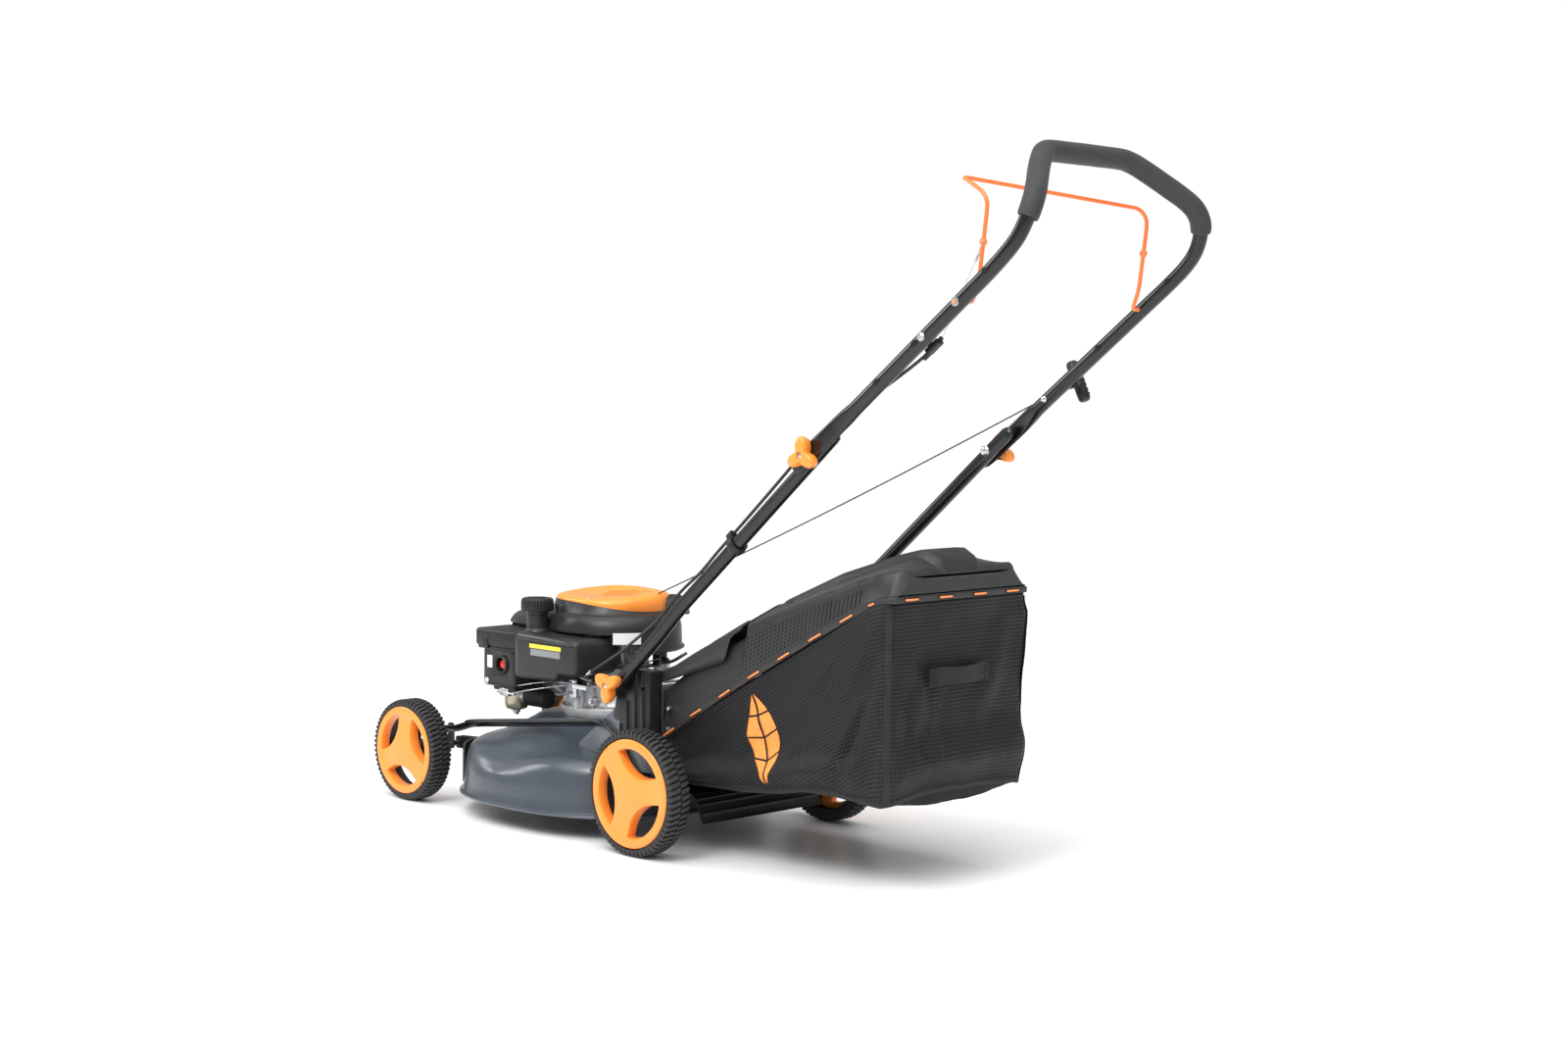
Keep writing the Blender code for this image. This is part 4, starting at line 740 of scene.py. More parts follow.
def make_comb():
    """Serrated black comb round the deck's front, and its axle saddles."""
    pivot_y, pivot_z = AXLES[True][:2]
    pairs = [pair for pair in zip(deck_ring(0.2475, 0), deck_ring(0.244, 0)) if pair[0].y > 0.47]
    top = 0.117
    rings = []
    for n, (a, b) in enumerate(zip(*[smooth_path(side, 4) for side in zip(*pairs)])):
        tooth = 0.052 if n % 10 < 5 else 0.063
        rings.append([(a.x, a.y, tooth), (a.x, a.y, top - 0.004), (a.x * 0.996, a.y, top), (b.x, b.y, top),
                      (b.x, b.y, tooth)])
    comb = Shape(bridge(rings))
    for hand in (-1, 1):
        for dx in (-0.0065, 0.0035):
            x = hand * 0.12 + dx
            comb.add(prism(rounded_outline([(0.52, 0.092), (pivot_y + 0.01, pivot_z - 0.011),
                                            (pivot_y + 0.011, pivot_z + 0.011), (0.525, 0.116)], 0.005), x,
                           x + 0.003, 0.0004))
        comb.add(peg((hand * 0.12 - 0.008, pivot_y, pivot_z), (hand * 0.12 + 0.008, pivot_y, pivot_z),
                     0.0095, 28, 0.001))
    emit("front_comb", comb, BLACK, "root", ["grass_comb"], smooth=30)


make_comb()


# ---------------------------------------------------------------- handle tubes
def lower_z(y):
    (y0, z0), (y1, z1) = (-0.072, 0.403), (-0.399, leg_z(-0.399))
    return z0 + (z1 - z0) * (y - y0) / (y1 - y0)


def make_lower_tube(hand, word):
    x = hand * 0.202
    path = rounded_path([(x, 0.104, 0.24), (x, -0.02, 0.352), (x, -0.046, 0.378), (x, -0.072, 0.403),
                         (x, -0.396, lower_z(-0.396)), (x, -0.399, lower_z(-0.399))],
                        [0.02, 0.013, 0.03, 0.0], 5)
    radii = [TUBE] * (len(path) - 2) + [TUBE - 0.0003, TUBE - 0.0014]
    radii[0] = TUBE - 0.001
    emit("lower_tube_" + word, sweep(path, radii, 32), GLOSS_BLACK, "lower_handle",
         ["lower_handle_" + word], smooth=45)
    seat = Shape()
    y, z = LOWER_KNOB
    seat.add(peg((hand * 0.1905, y, z), (hand * 0.2132, y, z), 0.0135, 28, 0.0012))
    black("lower_tube_pad_" + word, seat, "lower_handle")


for hand, word in ((-1, "left"), (1, "right")):
    make_lower_tube(hand, word)

HANDLE_BEND = [(0.214, -0.69, leg_z(-0.69)), (0.2135, -0.722, 0.9395), (0.2105, -0.742, 0.963),
               (0.205, -0.7535, 0.99), (0.196, -0.7555, 1.012), (0.18, -0.748, 1.032),
               (0.145, -0.724, 1.06), (0.115, -0.705, 1.081), (0.098, -0.697, 1.089),
               (0.08, -0.695, 1.0915)]


def handle_line():
    right = smooth_path([(0.214, -0.66, leg_z(-0.66)), *HANDLE_BEND, (0.04, -0.6948, 1.0918),
                         (0.0, -0.6948, 1.092)], 6)
    return [Vector((-p.x, p.y, p.z)) for p in right] + [p for p in reversed(right[:-1])]


def make_upper_handle():
    """Round tube whose lower ends are crushed flat and lie on the lower tubes."""
    line = handle_line()
    along = Vector((0, -math.cos(LEG_ANGLE), math.sin(LEG_ANGLE)))
    across = Vector((0, math.sin(LEG_ANGLE), math.cos(LEG_ANGLE)))
    tube = Shape(sweep([(-0.214, -0.462, leg_z(-0.462)), *line, (0.214, -0.462, leg_z(-0.462))], TUBE, 32))
    for hand in (-1, 1):
        rings = []
        for y, x, thick, tall in ((-0.465, 0.214, 0.01105, 0.01105), (-0.448, 0.2141, 0.0103, 0.0114),
                                  (-0.434, 0.2148, 0.0075, 0.0125), (-0.42, 0.216, 0.0042, 0.0136),
                                  (-0.408, 0.2163, 0.003, 0.014), (-0.35, 0.2163, 0.003, 0.014),
                                  (-0.34, 0.2163, 0.003, 0.0128), (-0.333, 0.2163, 0.0029, 0.0095),
                                  (-0.3305, 0.2163, 0.0025, 0.005)):
            mid = Vector((hand * x, y, leg_z(y)))
            power = 1.0 if thick > 0.009 else 0.62
            rings.append([mid + Vector((1, 0, 0)) * thick * math.copysign(abs(math.cos(t)) ** power,
                    math.cos(t)) + across * tall * math.copysign(abs(math.sin(t)) ** power, math.sin(t))
                          for t in np.linspace(0, 2 * math.pi, 32, endpoint=False)])
        tube.add(bridge(rings))
    emit("upper_tube", tube, GLOSS_BLACK, "upper_handle", ["upper_handle"], smooth=48)
    # dark ovals painted as the shade inside the tube's slots and holes
    holes = Shape()
    for y, sides in ((-0.698, (-1, 1)), (-0.5, (-1,)), (-0.571, (-1, 1))):
        for hand in sides:
            middle = Vector((0.203 if hand > 0 else -0.2252, y, leg_z(y)))
            oval = [middle + along * 0.0075 * math.cos(t) + across * 0.0035 * math.sin(t)
                    for t in np.linspace(0, 2 * math.pi, 24, endpoint=False)]
            holes.add(bridge([[p + Vector((dx, 0, 0)) for p in oval] for dx in (-SLOT_PROUD, SLOT_PROUD)]))
    emit("upper_tube_slot_shade", holes, HOLE_SHADE, "upper_handle")
    screw = Shape()
    y = -0.583
    screw.add(bolt((-0.2248, y, leg_z(y)), (-1, 0, 0), 0.005, 0.0038))
    screw.add(bolt((-0.2032, y, leg_z(y)), (1, 0, 0), 0.0045, 0.0032))
    steel("bracket_bolt", screw, "upper_handle")
    washers = Shape()
    for hand in (-1, 1):
        y, z = BAIL_PIVOT
        washers.add(turned([(0.0034, 0.0), (0.0066, 0.0), (0.0066, 0.0012), (0.0034, 0.0012)],
                           (hand * 0.2252, y, z), "X" if hand > 0 else "-X", 28))
    steel("bail_washers", washers, "upper_handle")


make_upper_handle()


def make_foam():
    line = [p for p in handle_line() if p.z > 0.9885]
    radii = [0.0157 + 0.00025 * noise.noise(p * 60) for p in line]
    for k, shrink in enumerate((0.001, 0.0002)):
        radii[k] -= shrink
        radii[-1 - k] -= shrink
    foam = Shape(sweep(line, radii, 36))
    for first, second in ((0, 1), (-1, -2)):
        out = (line[first] - line[second]).normalized()
        foam.add(sweep([line[first] - out * 0.002, line[first] + out * 0.0003], [0.014, 0.0136], 36), 1)
    sleeve = emit("foam_sleeve", foam, [FOAM, FOAM_CUT], "upper_handle", ["foam_grip"],
                  smooth=60)


make_foam()


def make_bail():
    x = 0.188
    halves = []
    for hand, pin, top in ((-1, 0.228, ((0.1878, -0.669, 1.016), (0.1865, -0.66, 1.029),
                                        (0.179, -0.628, 1.046), (0.168, -0.608, 1.053),
                                        (0.15, -0.603, 1.0535))), (1, 0.23,
            ((0.1872, -0.6675, 1.012), (0.1835, -0.663, 1.022), (0.174, -0.6585, 1.0275),
             (0.16, -0.656, 1.0285)))):
        halves.append([(hand * px, y, z) for px, y, z in ((pin, *BAIL_PIVOT), (x, *BAIL_PIVOT),
                (x, -0.656, 0.905), (x, -0.663, 0.96), (x, -0.668, 1.0), *top)])
    corners = halves[0] + halves[1][::-1]
    path = rounded_path(corners, [0.007] + [0.012] * (len(corners) - 4) + [0.007], 6)
    wire = Shape(sweep(path, 0.003, 16))
    eye_y, eye_z = -0.663, 0.96
    eyes, holes = [], []
    for hand in (-1, 1):
        eyes.append(peg((hand * x - 0.0017, eye_y, eye_z), (hand * x + 0.0017, eye_y, eye_z), 0.0062, 28,
                        0.0007))
        holes.append(peg((hand * x - 0.01, eye_y, eye_z), (hand * x + 0.01, eye_y, eye_z), 0.0021, 20))
    emit("bail_wire_bar", carved(wire, add=eyes, cut=holes), ORANGE_WIRE, "bail",
         ["bail_bar"], smooth=50)


make_bail()


def knob_geometry(hand, inner_x, place, turn, depth=0.019):
    """Three-winged clamp knob: thin at the wing tips, with a round recess over its bolt."""
    y0, z0 = place
    layers = []
    for h, grow, swell in ((0.0, 0.8, 0.0), (0.0015, 0.9, 0.0), (0.006, 0.97, 0.0), (0.012, 1.0, 0.0006),
                           (0.0165, 0.97, 0.0004), (depth - 0.0008, 0.9, 0.0), (depth, 0.84, 0.0)):
        ring = []
        for k in range(84):
            angle = 2 * math.pi * k / 84
            phase = ((angle + math.radians(turn)) % (2 * math.pi / 3)) - math.pi / 3
            lobe = max(0.0, math.cos(1.5 * phase)) ** 2.1
            radius = (0.01 + 0.0183 * lobe) * grow + swell
            ring.append((hand * (inner_x + h), y0 + radius * math.cos(angle),
                         z0 + radius * math.sin(angle)))
        layers.append(ring)
    recess = peg((hand * (inner_x + depth - 0.0055), y0, z0), (hand * (inner_x + depth + 0.01), y0, z0),
                 0.0056, 28)
    return carved(bridge(layers), cut=[recess])


def make_knobs():
    for hand, word in ((-1, "left"), (1, "right")):
        for which, inner_x, place, turn, body, inside in (("lower", 0.2133, LOWER_KNOB, 30,
                "lower_knob_" + word, 0.172), ("upper", 0.2196, UPPER_KNOB, 90, "upper_knob_" + word,
                0.1895)):
            emit(f"{which}_wing_knob_{word}", knob_geometry(hand, inner_x, place, turn), ORANGE, body,
                 [f"{which}_knob_{word}"], bevel=0.0006)
            y, z = place
            steel = Shape(peg((hand * inside, y, z), (hand * (inner_x + 0.0155), y, z), 0.0038, 24, 0.0005),
                          sweep([(hand * (inner_x + 0.012), y, z), (hand * (inner_x + 0.0168), y, z),
                                 (hand * (inner_x + 0.0172), y, z)], [0.005, 0.005, 0.0043], 6))
            if which == "upper":
                steel.add(sweep([(hand * 0.1912, y, z), (hand * 0.19, y, z), (hand * 0.188, y, z),
                                 (hand * 0.1872, y, z)], [0.0085, 0.0085, 0.006, 0.002], 28))
            emit(f"{which}_knob_bolt_{word}", steel, ZINC, body)


make_knobs()


# ---------------------------------------------------------------- controls and cords
LIFT = Vector((0, math.sin(LEG_ANGLE), math.cos(LEG_ANGLE))) * 0.0155


def beside(x, y, share, height=leg_z):
    return Vector((x, y, height(y))) + LIFT * share


def make_controls():
    stop = Vector((-0.1945, -0.583, 0.8144))
    bracket = Shape()
    tilt = Matrix.Translation(stop) @ Matrix.Rotation(-LEG_ANGLE, 4, "X")
    bracket.add(slab((-0.0078, -0.014, -0.0048), (0.005, 0.014, 0.0048), 0.0018), matrix=tilt)
    bracket.add(peg((0, 0.012, -0.001), (0, 0.026, -0.001), 0.0042, 20, 0.0008), matrix=tilt)
    bracket.add(peg((0, -0.012, 0.002), (0, -0.018, 0.002), 0.0034, 20, 0.0006), matrix=tilt)
    bracket.add(slab((-0.0085, -0.005, 0.003), (-0.006, 0.005, 0.017), 0.0008), matrix=tilt)
    emit("cable_stop", bracket, BLACK, "upper_handle", ["cable_bracket"])

    eye = Vector((-0.188, -0.663, 0.96))
    start = stop + Vector((0.0005, -0.0145, 0.014))
    pull = (eye - start).normalized()
    wire = [start + (eye - start) * t for t in np.linspace(0, 0.9, 10)]
    hook = [eye - pull * 0.01 + Vector((-0.001, 0, 0)), eye + Vector((-0.0028, 0, 0.001)),
            eye + pull * 0.003, eye + Vector((0.0028, 0, 0.001))]
    control = Shape(sweep(wire + smooth_path(hook, 4), 0.0008, 10))
    coil = []
    for k in range(9 * 12):
        a, t = 2 * math.pi * k / 12, k / (9 * 12)
        coil.append(eye - pull * (0.03 - 0.018 * t) + Vector((math.cos(a), math.sin(a) * pull.z,
                -math.sin(a) * pull.y)) * 0.0024)
    control.add(sweep(coil, 0.0005, 6))
    wire = emit("bail_control_wire", control, ZINC, None, ["bail_wire"], smooth=60)
    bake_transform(wire)

    upper = smooth_path([stop + Vector((0.0, 0.0128, -0.01)), beside(-0.198, -0.53, -0.5),
                         beside(-0.1985, -0.47, 0.2), beside(-0.2, -0.405, 1.2),
                         beside(-0.202, -0.362, 1.35)], 10)
    lower = smooth_path([upper[-1], beside(-0.202, -0.32, 1.3, lower_z),
                         beside(-0.202, -0.25, 1.18, lower_z), beside(-0.202, -0.165, 1.13, lower_z)], 10)
    engine = smooth_path([lower[-1], (-0.202, -0.115, 0.461), (-0.2, -0.067, 0.426),
                          (-0.197, -0.012, 0.378), (-0.182, 0.055, 0.34), (-0.163, 0.118, 0.31),
                          (-0.15, 0.18, 0.282), (-0.142, 0.222, 0.262)], 10)
    cables = []
    for name, path, node in (("stop_cable_top", upper, "stop_cable_upper"),
                             ("stop_cable_middle", lower, "stop_cable_lower"),
                             ("stop_cable_end", engine, "stop_cable_engine")):
        cables.append(emit(name, sweep(path, 0.0025, 16), SHEATH, None, [node], smooth=60))
    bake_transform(cables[0])
    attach(cables[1], "lower_handle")
    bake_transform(cables[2])
    tip = Shape()
    end, before = engine[-1], engine[-4]
    way = (end - before).normalized()
    tip.add(peg(end - way * 0.014, end + way * 0.001, 0.0034, 18, 0.0006))
    tip.add(sweep([end, end + way * 0.01, end + way * 0.016 + Vector((0.004, 0, 0.001))], 0.0009, 8))
    steel("stop_cable_ferrule", tip)

    clip_y = -0.195
    centre = Vector((-0.202, clip_y, lower_z(clip_y)))
    along = Vector((0, -0.327, leg_z(-0.399) - 0.403)).normalized()
    across = Vector((0, along.z, -along.y))
    if across.z < 0:
        across = -across
    tie = Shape()
    loop = [centre + (Vector((1, 0, 0)) * math.cos(t) * 0.013 + across * (math.sin(t) * 0.013)) for t in
            np.linspace(0, 2 * math.pi, 40, endpoint=False)]
    rings = []
    for p in loop:
        out = (p - centre).normalized()
        rings.append([p - out * 0.0018 - along * 0.006, p + out * 0.0022 - along * 0.006, p + out * 0.003,
                      p + out * 0.0022 + along * 0.006, p - out * 0.0018 + along * 0.006])
    verts, faces = bridge(rings, ends=False)
    faces += [(len(loop) * 5 - 5 + i, len(loop) * 5 - 5 + (i + 1) % 5, (i + 1) % 5, i) for i in range(5)]
    tie.add((verts, faces))
    cable = centre + LIFT * 1.13
    holder = [cable + (Vector((1, 0, 0)) * math.cos(t) + across * math.sin(t)) * 0.0058 for t in
              np.linspace(math.radians(-120), math.radians(235), 26)]
    rings = []
    for p in holder:
        out = (p - cable).normalized()
        rings.append([p - out * 0.0016 - along * 0.0055, p + out * 0.0016 - along * 0.0055,
                      p + out * 0.0016 + along * 0.0055, p - out * 0.0016 + along * 0.0055])
    tie.add(bridge(rings))
    tie.add(slab((-0.0045, -0.005, 0.0125), (0.0045, 0.005, 0.0185), 0.001),
            matrix=Matrix.Translation(centre) @ Matrix.Rotation(math.atan2(along.z, -along.y), 4,
            "X").inverted())
    tie.add(peg(centre + Vector((0.012, 0, 0)) + across * 0.002,
                centre + Vector((0.02, 0, 0)) - across * 0.004, 0.0035, 16, 0.0006))
    emit("cable_clip_band", tie, BLACK, "lower_handle", ["cable_clip"], bevel=0.0004)


make_controls()

ROPE_START = Vector((0.036, 0.242, 0.386))
ROPE_GUIDE = Vector((0.24, -0.46, 0.747))
ROPE_SAG = Vector((0, 0, -0.006))


def make_pull_start():
    pull = (ROPE_GUIDE - ROPE_START).normalized()
    side = pull.orthogonal().normalized()
    other = pull.cross(side)
    ring = []
    for t in np.linspace(0, 2 * math.pi * 1.12, 44):
        ring.append(ROPE_GUIDE + polar(side, other, t, 0.0062) + pull * 0.0035 * (t / math.pi - 1))
    y = ROPE_GUIDE.y - 0.008
    emit("rope_eye", [sweep(ring, 0.0019, 12), sweep(smooth_path([ring[0], ROPE_GUIDE + Vector((-0.004,
            -0.004, -0.004)), (0.2262, y, leg_z(y))], 6), 0.0019, 12),
                      sweep([(0.2252, y, leg_z(y)), (0.2272, y, leg_z(y)), (0.2286, y, leg_z(y))],
                            [0.0058, 0.0056, 0.004], 6), sweep([(0.2028, y, leg_z(y)),
            (0.2012, y, leg_z(y)), (0.1998, y, leg_z(y))], [0.0058, 0.0056, 0.004], 6)], ZINC,
         "upper_handle", ["rope_guide"], smooth=50)
    end = ROPE_GUIDE + pull * 0.022
    length = (end - ROPE_START).length

    def hang(t):
        """Point on the rope's slightly sagging line, from the engine (0) to the grip (1)."""
        return ROPE_START + pull * length * t + ROPE_SAG * math.sin(math.pi * min(1, t / 0.96))
    strands = Shape()
    steps = 150
    for strand in range(3):
        path = []
        for k in range(steps + 1):
            t = k / steps
            a = 2 * math.pi * (t * 60 + strand / 3)
            path.append(hang(t) + polar(side, other, a, 0.00065))
        strands.add(sweep(path, 0.00085, 6))
    rope = emit("starter_cord", strands, ROPE, "root", ["starter_rope"], smooth=70)
    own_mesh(rope)
    # the length that comes out behind the grip when it is pulled; at rest it lies inside the rope
    core = [hang(t) for t in np.linspace(0.47, 1.0, 40)]
    tail = emit("starter_cord_pulled", sweep(core, 0.0011, 8), ROPE, "starter_grip",
                smooth=70)
    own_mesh(tail)

    upright = Vector((0.05, 0.48, 0.87))
    upright = (upright - pull * upright.dot(pull)).normalized()
    wide = pull.cross(upright)
    seat = end + pull * 0.022
    rings = []
    for h, half, thick in ((-0.0345, 0.005, 0.0052), (-0.0335, 0.0085, 0.0078), (-0.03, 0.0105, 0.0096),
                           (-0.018, 0.0108, 0.0098), (-0.008, 0.0092, 0.01), (0.0, 0.0096, 0.0108),
                           (0.008, 0.0092, 0.01), (0.018, 0.0108, 0.0098), (0.03, 0.0105, 0.0096),
                           (0.0335, 0.0085, 0.0078), (0.0345, 0.005, 0.0052)):
        rings.append([seat + upright * h + wide * half * math.cos(t) + pull * thick * math.sin(t)
                      for t in np.linspace(0, 2 * math.pi, 28, endpoint=False)])
    grip = Shape(bridge(rings), sweep([end, end + pull * 0.004, end + pull * 0.014, seat],
                                      [0.0046, 0.0056, 0.007, 0.0088], 24))
    for k in range(-3, 4):
        centre = seat + upright * (0.0082 * k)
        band = [centre + polar(wide, pull, t, 0.0104) for t in np.linspace(0.6, 2.5, 12)]
        grip.add(sweep(band, 0.0008, 8))
    emit("starter_handle", grip, BLACK, "starter_grip", ["starter_grip"], smooth=50)


make_pull_start()


# ---------------------------------------------------------------- grass bag
LID_ROWS = ((0.008, 0.178, 0.166, 0.264, 0.152, 0.27, 0.07),
            (-0.06, 0.221, 0.166, 0.311, 0.152, 0.335, 0.07),
            (-0.135, 0.264, 0.166, 0.347, 0.151, 0.378, 0.07),
            (-0.166, 0.282, 0.166, 0.36, 0.15, 0.39, 0.07),
            (-0.175, 0.287, 0.167, 0.384, 0.155, 0.414, 0.07),
            (-0.3, 0.355, 0.166, 0.43, 0.153, 0.467, 0.07), (-0.4, 0.409, 0.162, 0.466, 0.15, 0.501, 0.055),
            (-0.44, 0.43, 0.16, 0.478, 0.144, 0.512, 0.044),
            (-0.468, 0.437, 0.158, 0.484, 0.132, 0.499, 0.04),
            (-0.48, 0.437, 0.157, 0.478, 0.126, 0.485, 0.036))
BAG_FLOOR = ((0.008, 0.124), (-0.06, 0.12), (-0.17, 0.121), (-0.3, 0.138), (-0.4, 0.142), (-0.44, 0.143),
             (-0.462, 0.144), (-0.48, 0.148))


WALL_ROWS = 11                   # rows of vent holes that a lid wall has room for
COLUMN = 0.0083                  # from one column of holes to the next


def table(rows, y):
    """Values at y from rows that run backwards in y."""
    keys = [-row[0] for row in rows]
    return [float(np.interp(-y, keys, [row[i] for row in rows])) for i in range(1, len(rows[0]))]


def lid_section(y):
    """Left half of the lid's section at y, from rim to ridge: lip, wall, shoulder, slope, crown."""
    rim_z, rim_x, side_z, side_x, top_z, top_x = table(LID_ROWS, y)
    lip = [(rim_x + 0.0015, rim_z + 0.0004), (rim_x + 0.0022, rim_z + 0.0022),
           (rim_x + 0.0022, rim_z + 0.008), (rim_x + 0.0012, rim_z + 0.0094),
           (rim_x - 0.0024, rim_z + 0.0102)]
    foot, head = Vector((rim_x - 0.003, rim_z + 0.0125)), Vector((side_x + 0.0012, side_z - 0.007))
    wall = [tuple(foot.lerp(head, k / WALL_ROWS)) for k in range(WALL_ROWS + 1)]
    flute = 0.0035 * hump(y, -0.352, 0.01) + 0.0035 * hump(y, -0.412, 0.008)
    corner = [(side_x - 0.0002 - flute, side_z - 0.003), (side_x - 0.0022 - flute, side_z - 0.0004),
              (side_x - 0.0065 - flute, side_z + 0.0018)]
    slope_a, slope_b = Vector(corner[-1]), Vector((top_x + 0.007, top_z - 0.0028))
    step = 0.0075 * min(1.0, max(0.0, (-y - 0.178) / 0.02))
    slope = [(slope_a.lerp(slope_b, u).x, slope_a.lerp(slope_b, u).y - step * min(1.0, u * 1.4))
             for u in (0.2, 0.4, 0.6, 0.8, 0.95)]
    slope.append((slope_b.x - 0.0008, slope_b.y - 0.0012))
    crown = [(top_x + 0.002, top_z - 0.0004), (top_x - 0.004, top_z + 0.0002),
             (top_x * 0.5, top_z + 0.0004), (0.0, top_z + 0.0004)]
    return [(-x, z) for x, z in lip + wall + corner + slope + crown]


def make_lid():
    """Moulded lid with a raised plateau, real vent holes in its sides and a lip round its rim."""
    ys = list(np.arange(0.008, -0.44, -COLUMN)) + [-0.444, -0.452, -0.46, -0.466, -0.4715, -0.476, -0.479,
            -0.4802]
    sections = []
    for y in ys:
        left = lid_section(y)
        fall = max(0.0, (-y - 0.466) / 0.0142)
        left = [(x * (1 - 0.03 * fall ** 2), z - (0.004 * fall ** 2 if z > 0.45 else 0)) for x, z in left]
        sections.append([Vector((x, y, z)) for x, z in left] + [Vector((-x, y, z))
                for x, z in reversed(left[:-1])])
    count = len(sections[0])
    verts = [p for section in sections for p in section]
    faces = []
    wall_start = 5
    for c in range(len(sections) - 1):
        y = (ys[c] + ys[c + 1]) / 2
        for r in range(count - 1):
            a, b = c * count + r, c * count + r + 1
            d, e = (c + 1) * count + r, (c + 1) * count + r + 1
            rows = [row for row in (r - wall_start, count - 2 - r - wall_start) if 0 <= row < WALL_ROWS]
            row = rows[0] if rows else None
            top_row = 8.6 if y > -0.36 else 7.6
            front = -0.158 - 0.0024 * (row or 0) if row is not None else 0
            holed = row is not None and 1 <= row <= top_row and -0.418 < y < front
            if not holed:
                faces.append((a, b, e, d))
                continue
            corners = [verts[a], verts[b], verts[e], verts[d]]
            mid = sum(corners, Vector()) / 4
            side = (verts[d] - verts[a]).normalized()
            up = (verts[b] - verts[a]).normalized()
            base = len(verts)
            hole = [mid + polar(side, up, t, 0.0015)
                    for t in np.linspace(0, 2 * math.pi, 12, endpoint=False)]
            verts += hole
            ring = []
            order = [(a, -1, -1), (d, 1, -1), (e, 1, 1), (b, -1, 1)]
            for index, i, j in order:
                ring.append((index, math.atan2(j, i) % (2 * math.pi)))
            ring.sort(key=lambda item: item[1])
            spots = [int(round(angle / (2 * math.pi) * 12)) % 12 for _, angle in ring]
            for k in range(4):
                first, last = spots[k], spots[(k + 1) % 4]
                arc = [base + (first + s) % 12 for s in range(((last - first) % 12) + 1)]
                faces.append((ring[k][0], ring[(k + 1) % 4][0], *reversed(arc)))
    last = [(len(sections) - 1) * count + r for r in range(count)]
    half = count // 2
    for r in range(half):
        a, b = last[r], last[r + 1]
        c, d = last[count - 2 - r], last[count - 1 - r]
        faces.append((a, b, c, d) if b != c else (a, b, d))
    obj = emit("lid_shell", (verts, faces), LID, "grass_bag", ["bag_lid"], smooth=34)
    thicken(obj, 0.0024)
    obj.data.set_sharp_from_angle(angle=math.radians(34))


make_lid()


CLIP_RISE = 0.005               # clips above the lid's rim


def make_dashes():
    """Clips of the wire frame showing in slots along the lid's lip, with dark slabs behind them as painted
    shade inside the slots, and rivets at its front.
    """
    clips, slots = Shape(), Shape()
    for y in (-0.01, -0.072, -0.137, -0.202, -0.266, -0.33, -0.392, -0.44):
        for hand in (-1, 1):
            half = 0.0125 if y > -0.43 else 0.006
            ends = []
            for step in (-half, half):
                rim_z, rim_x = table(LID_ROWS, y + step)[:2]
                ends.append(Vector((hand * (rim_x + 0.0021), y + step, rim_z + CLIP_RISE)))
            way = (ends[1] - ends[0]).normalized()
            up = Vector((1, 0, 0)).cross(way)
            up = up if up.z > 0 else -up
            clips.add(sweep([ends[0], ends[0] + way * 0.002, ends[1] - way * 0.002, ends[1]],
                            [0.0008, 0.0017, 0.0017, 0.0008], 12))
            slots.add(bridge([[p + up * 0.003 + Vector((hand * dx, 0, 0))
                               for p in (ends[0] - way * 0.0012,
                                         ends[1] + way * 0.0012)] + [p - up * 0.003 + Vector((hand * dx, 0,
                    0)) for p in (ends[1] + way * 0.0012, ends[0] - way * 0.0012)]
                              for dx in (-0.001, 0.0004)]))
    for x in (-0.118, -0.04, 0.04, 0.118):
        z = 0.437 + CLIP_RISE
        clips.add(sweep([(x - 0.015, -0.4812, z), (x - 0.013, -0.4816, z), (x + 0.013, -0.4816, z),
                         (x + 0.015, -0.4812, z)], [0.0008, 0.0017, 0.0017, 0.0008], 12))
        slots.add(slab((x - 0.0165, -0.4812, z - 0.003), (x + 0.0165, -0.48, z + 0.003), 0.0005))
    emit("lid_clips", clips, ORANGE_WIRE, "grass_bag", smooth=60)
    # the dark slabs behind the clips are painted shade inside the lid's slots
    emit("lid_slot_shade", slots, HOLE_SHADE, "grass_bag")
    rivets = Shape()
    for hand in (-1, 1):
        for y, z in ((-0.004, 0.198), (-0.006, 0.232)):
            rivets.add(peg((hand * 0.159, y, z), (hand * 0.1685, y, z), 0.004, 20, 0.0012))
    steel("lid_rivets", rivets, "grass_bag")
    rod = []
    for y in np.linspace(0.004, -0.452, 24):
        rim_z, rim_x = table(LID_ROWS, y)[:2]
        rod.append((-(rim_x - 0.0065), y, rim_z + 0.006))
    back = [(-0.14, -0.4705, 0.443), (0.14, -0.4705, 0.443)]
    path = rounded_path(rod + back + [(-x, y, z) for x, y, z in reversed(rod)], 0.012, 4)
    emit("bag_wire_frame", sweep(path, 0.0028, 14), ORANGE_WIRE, "grass_bag",
         ["bag_frame_rod"], smooth=60)


make_dashes()

WALL_X = 0.1632
BACK_Y = -0.4772
SIDE_RUN, BAG_BEND = 0.4662, 0.02   # straight part of a side wall, and the radius of the rear corners


def bag_rim(s):
    """Point at s along the cloth's top edge, from the front left corner round, and its outward normal."""
    run, bend, wide = SIDE_RUN, BAG_BEND, 2 * (WALL_X - BAG_BEND)
    arc = math.pi / 2 * bend
    if s < run:
        return Vector((-WALL_X, 0.008 - s, 0)), Vector((-1, 0, 0))
    s -= run
    if s < arc:
        t = s / bend
        normal = Vector((-math.cos(t), -math.sin(t), 0))
        return Vector((-WALL_X + bend, BACK_Y + bend, 0)) + normal * bend, normal
    s -= arc
    if s < wide:
        return Vector((-WALL_X + bend + s, BACK_Y, 0)), Vector((0, -1, 0))
    s -= wide
    if s < arc:
        t = math.pi / 2 - s / bend
        normal = Vector((math.cos(t), -math.sin(t), 0))
        return Vector((WALL_X - bend, BACK_Y + bend, 0)) + normal * bend, normal
    return Vector((WALL_X, BACK_Y + bend + (s - arc), 0)), Vector((1, 0, 0))


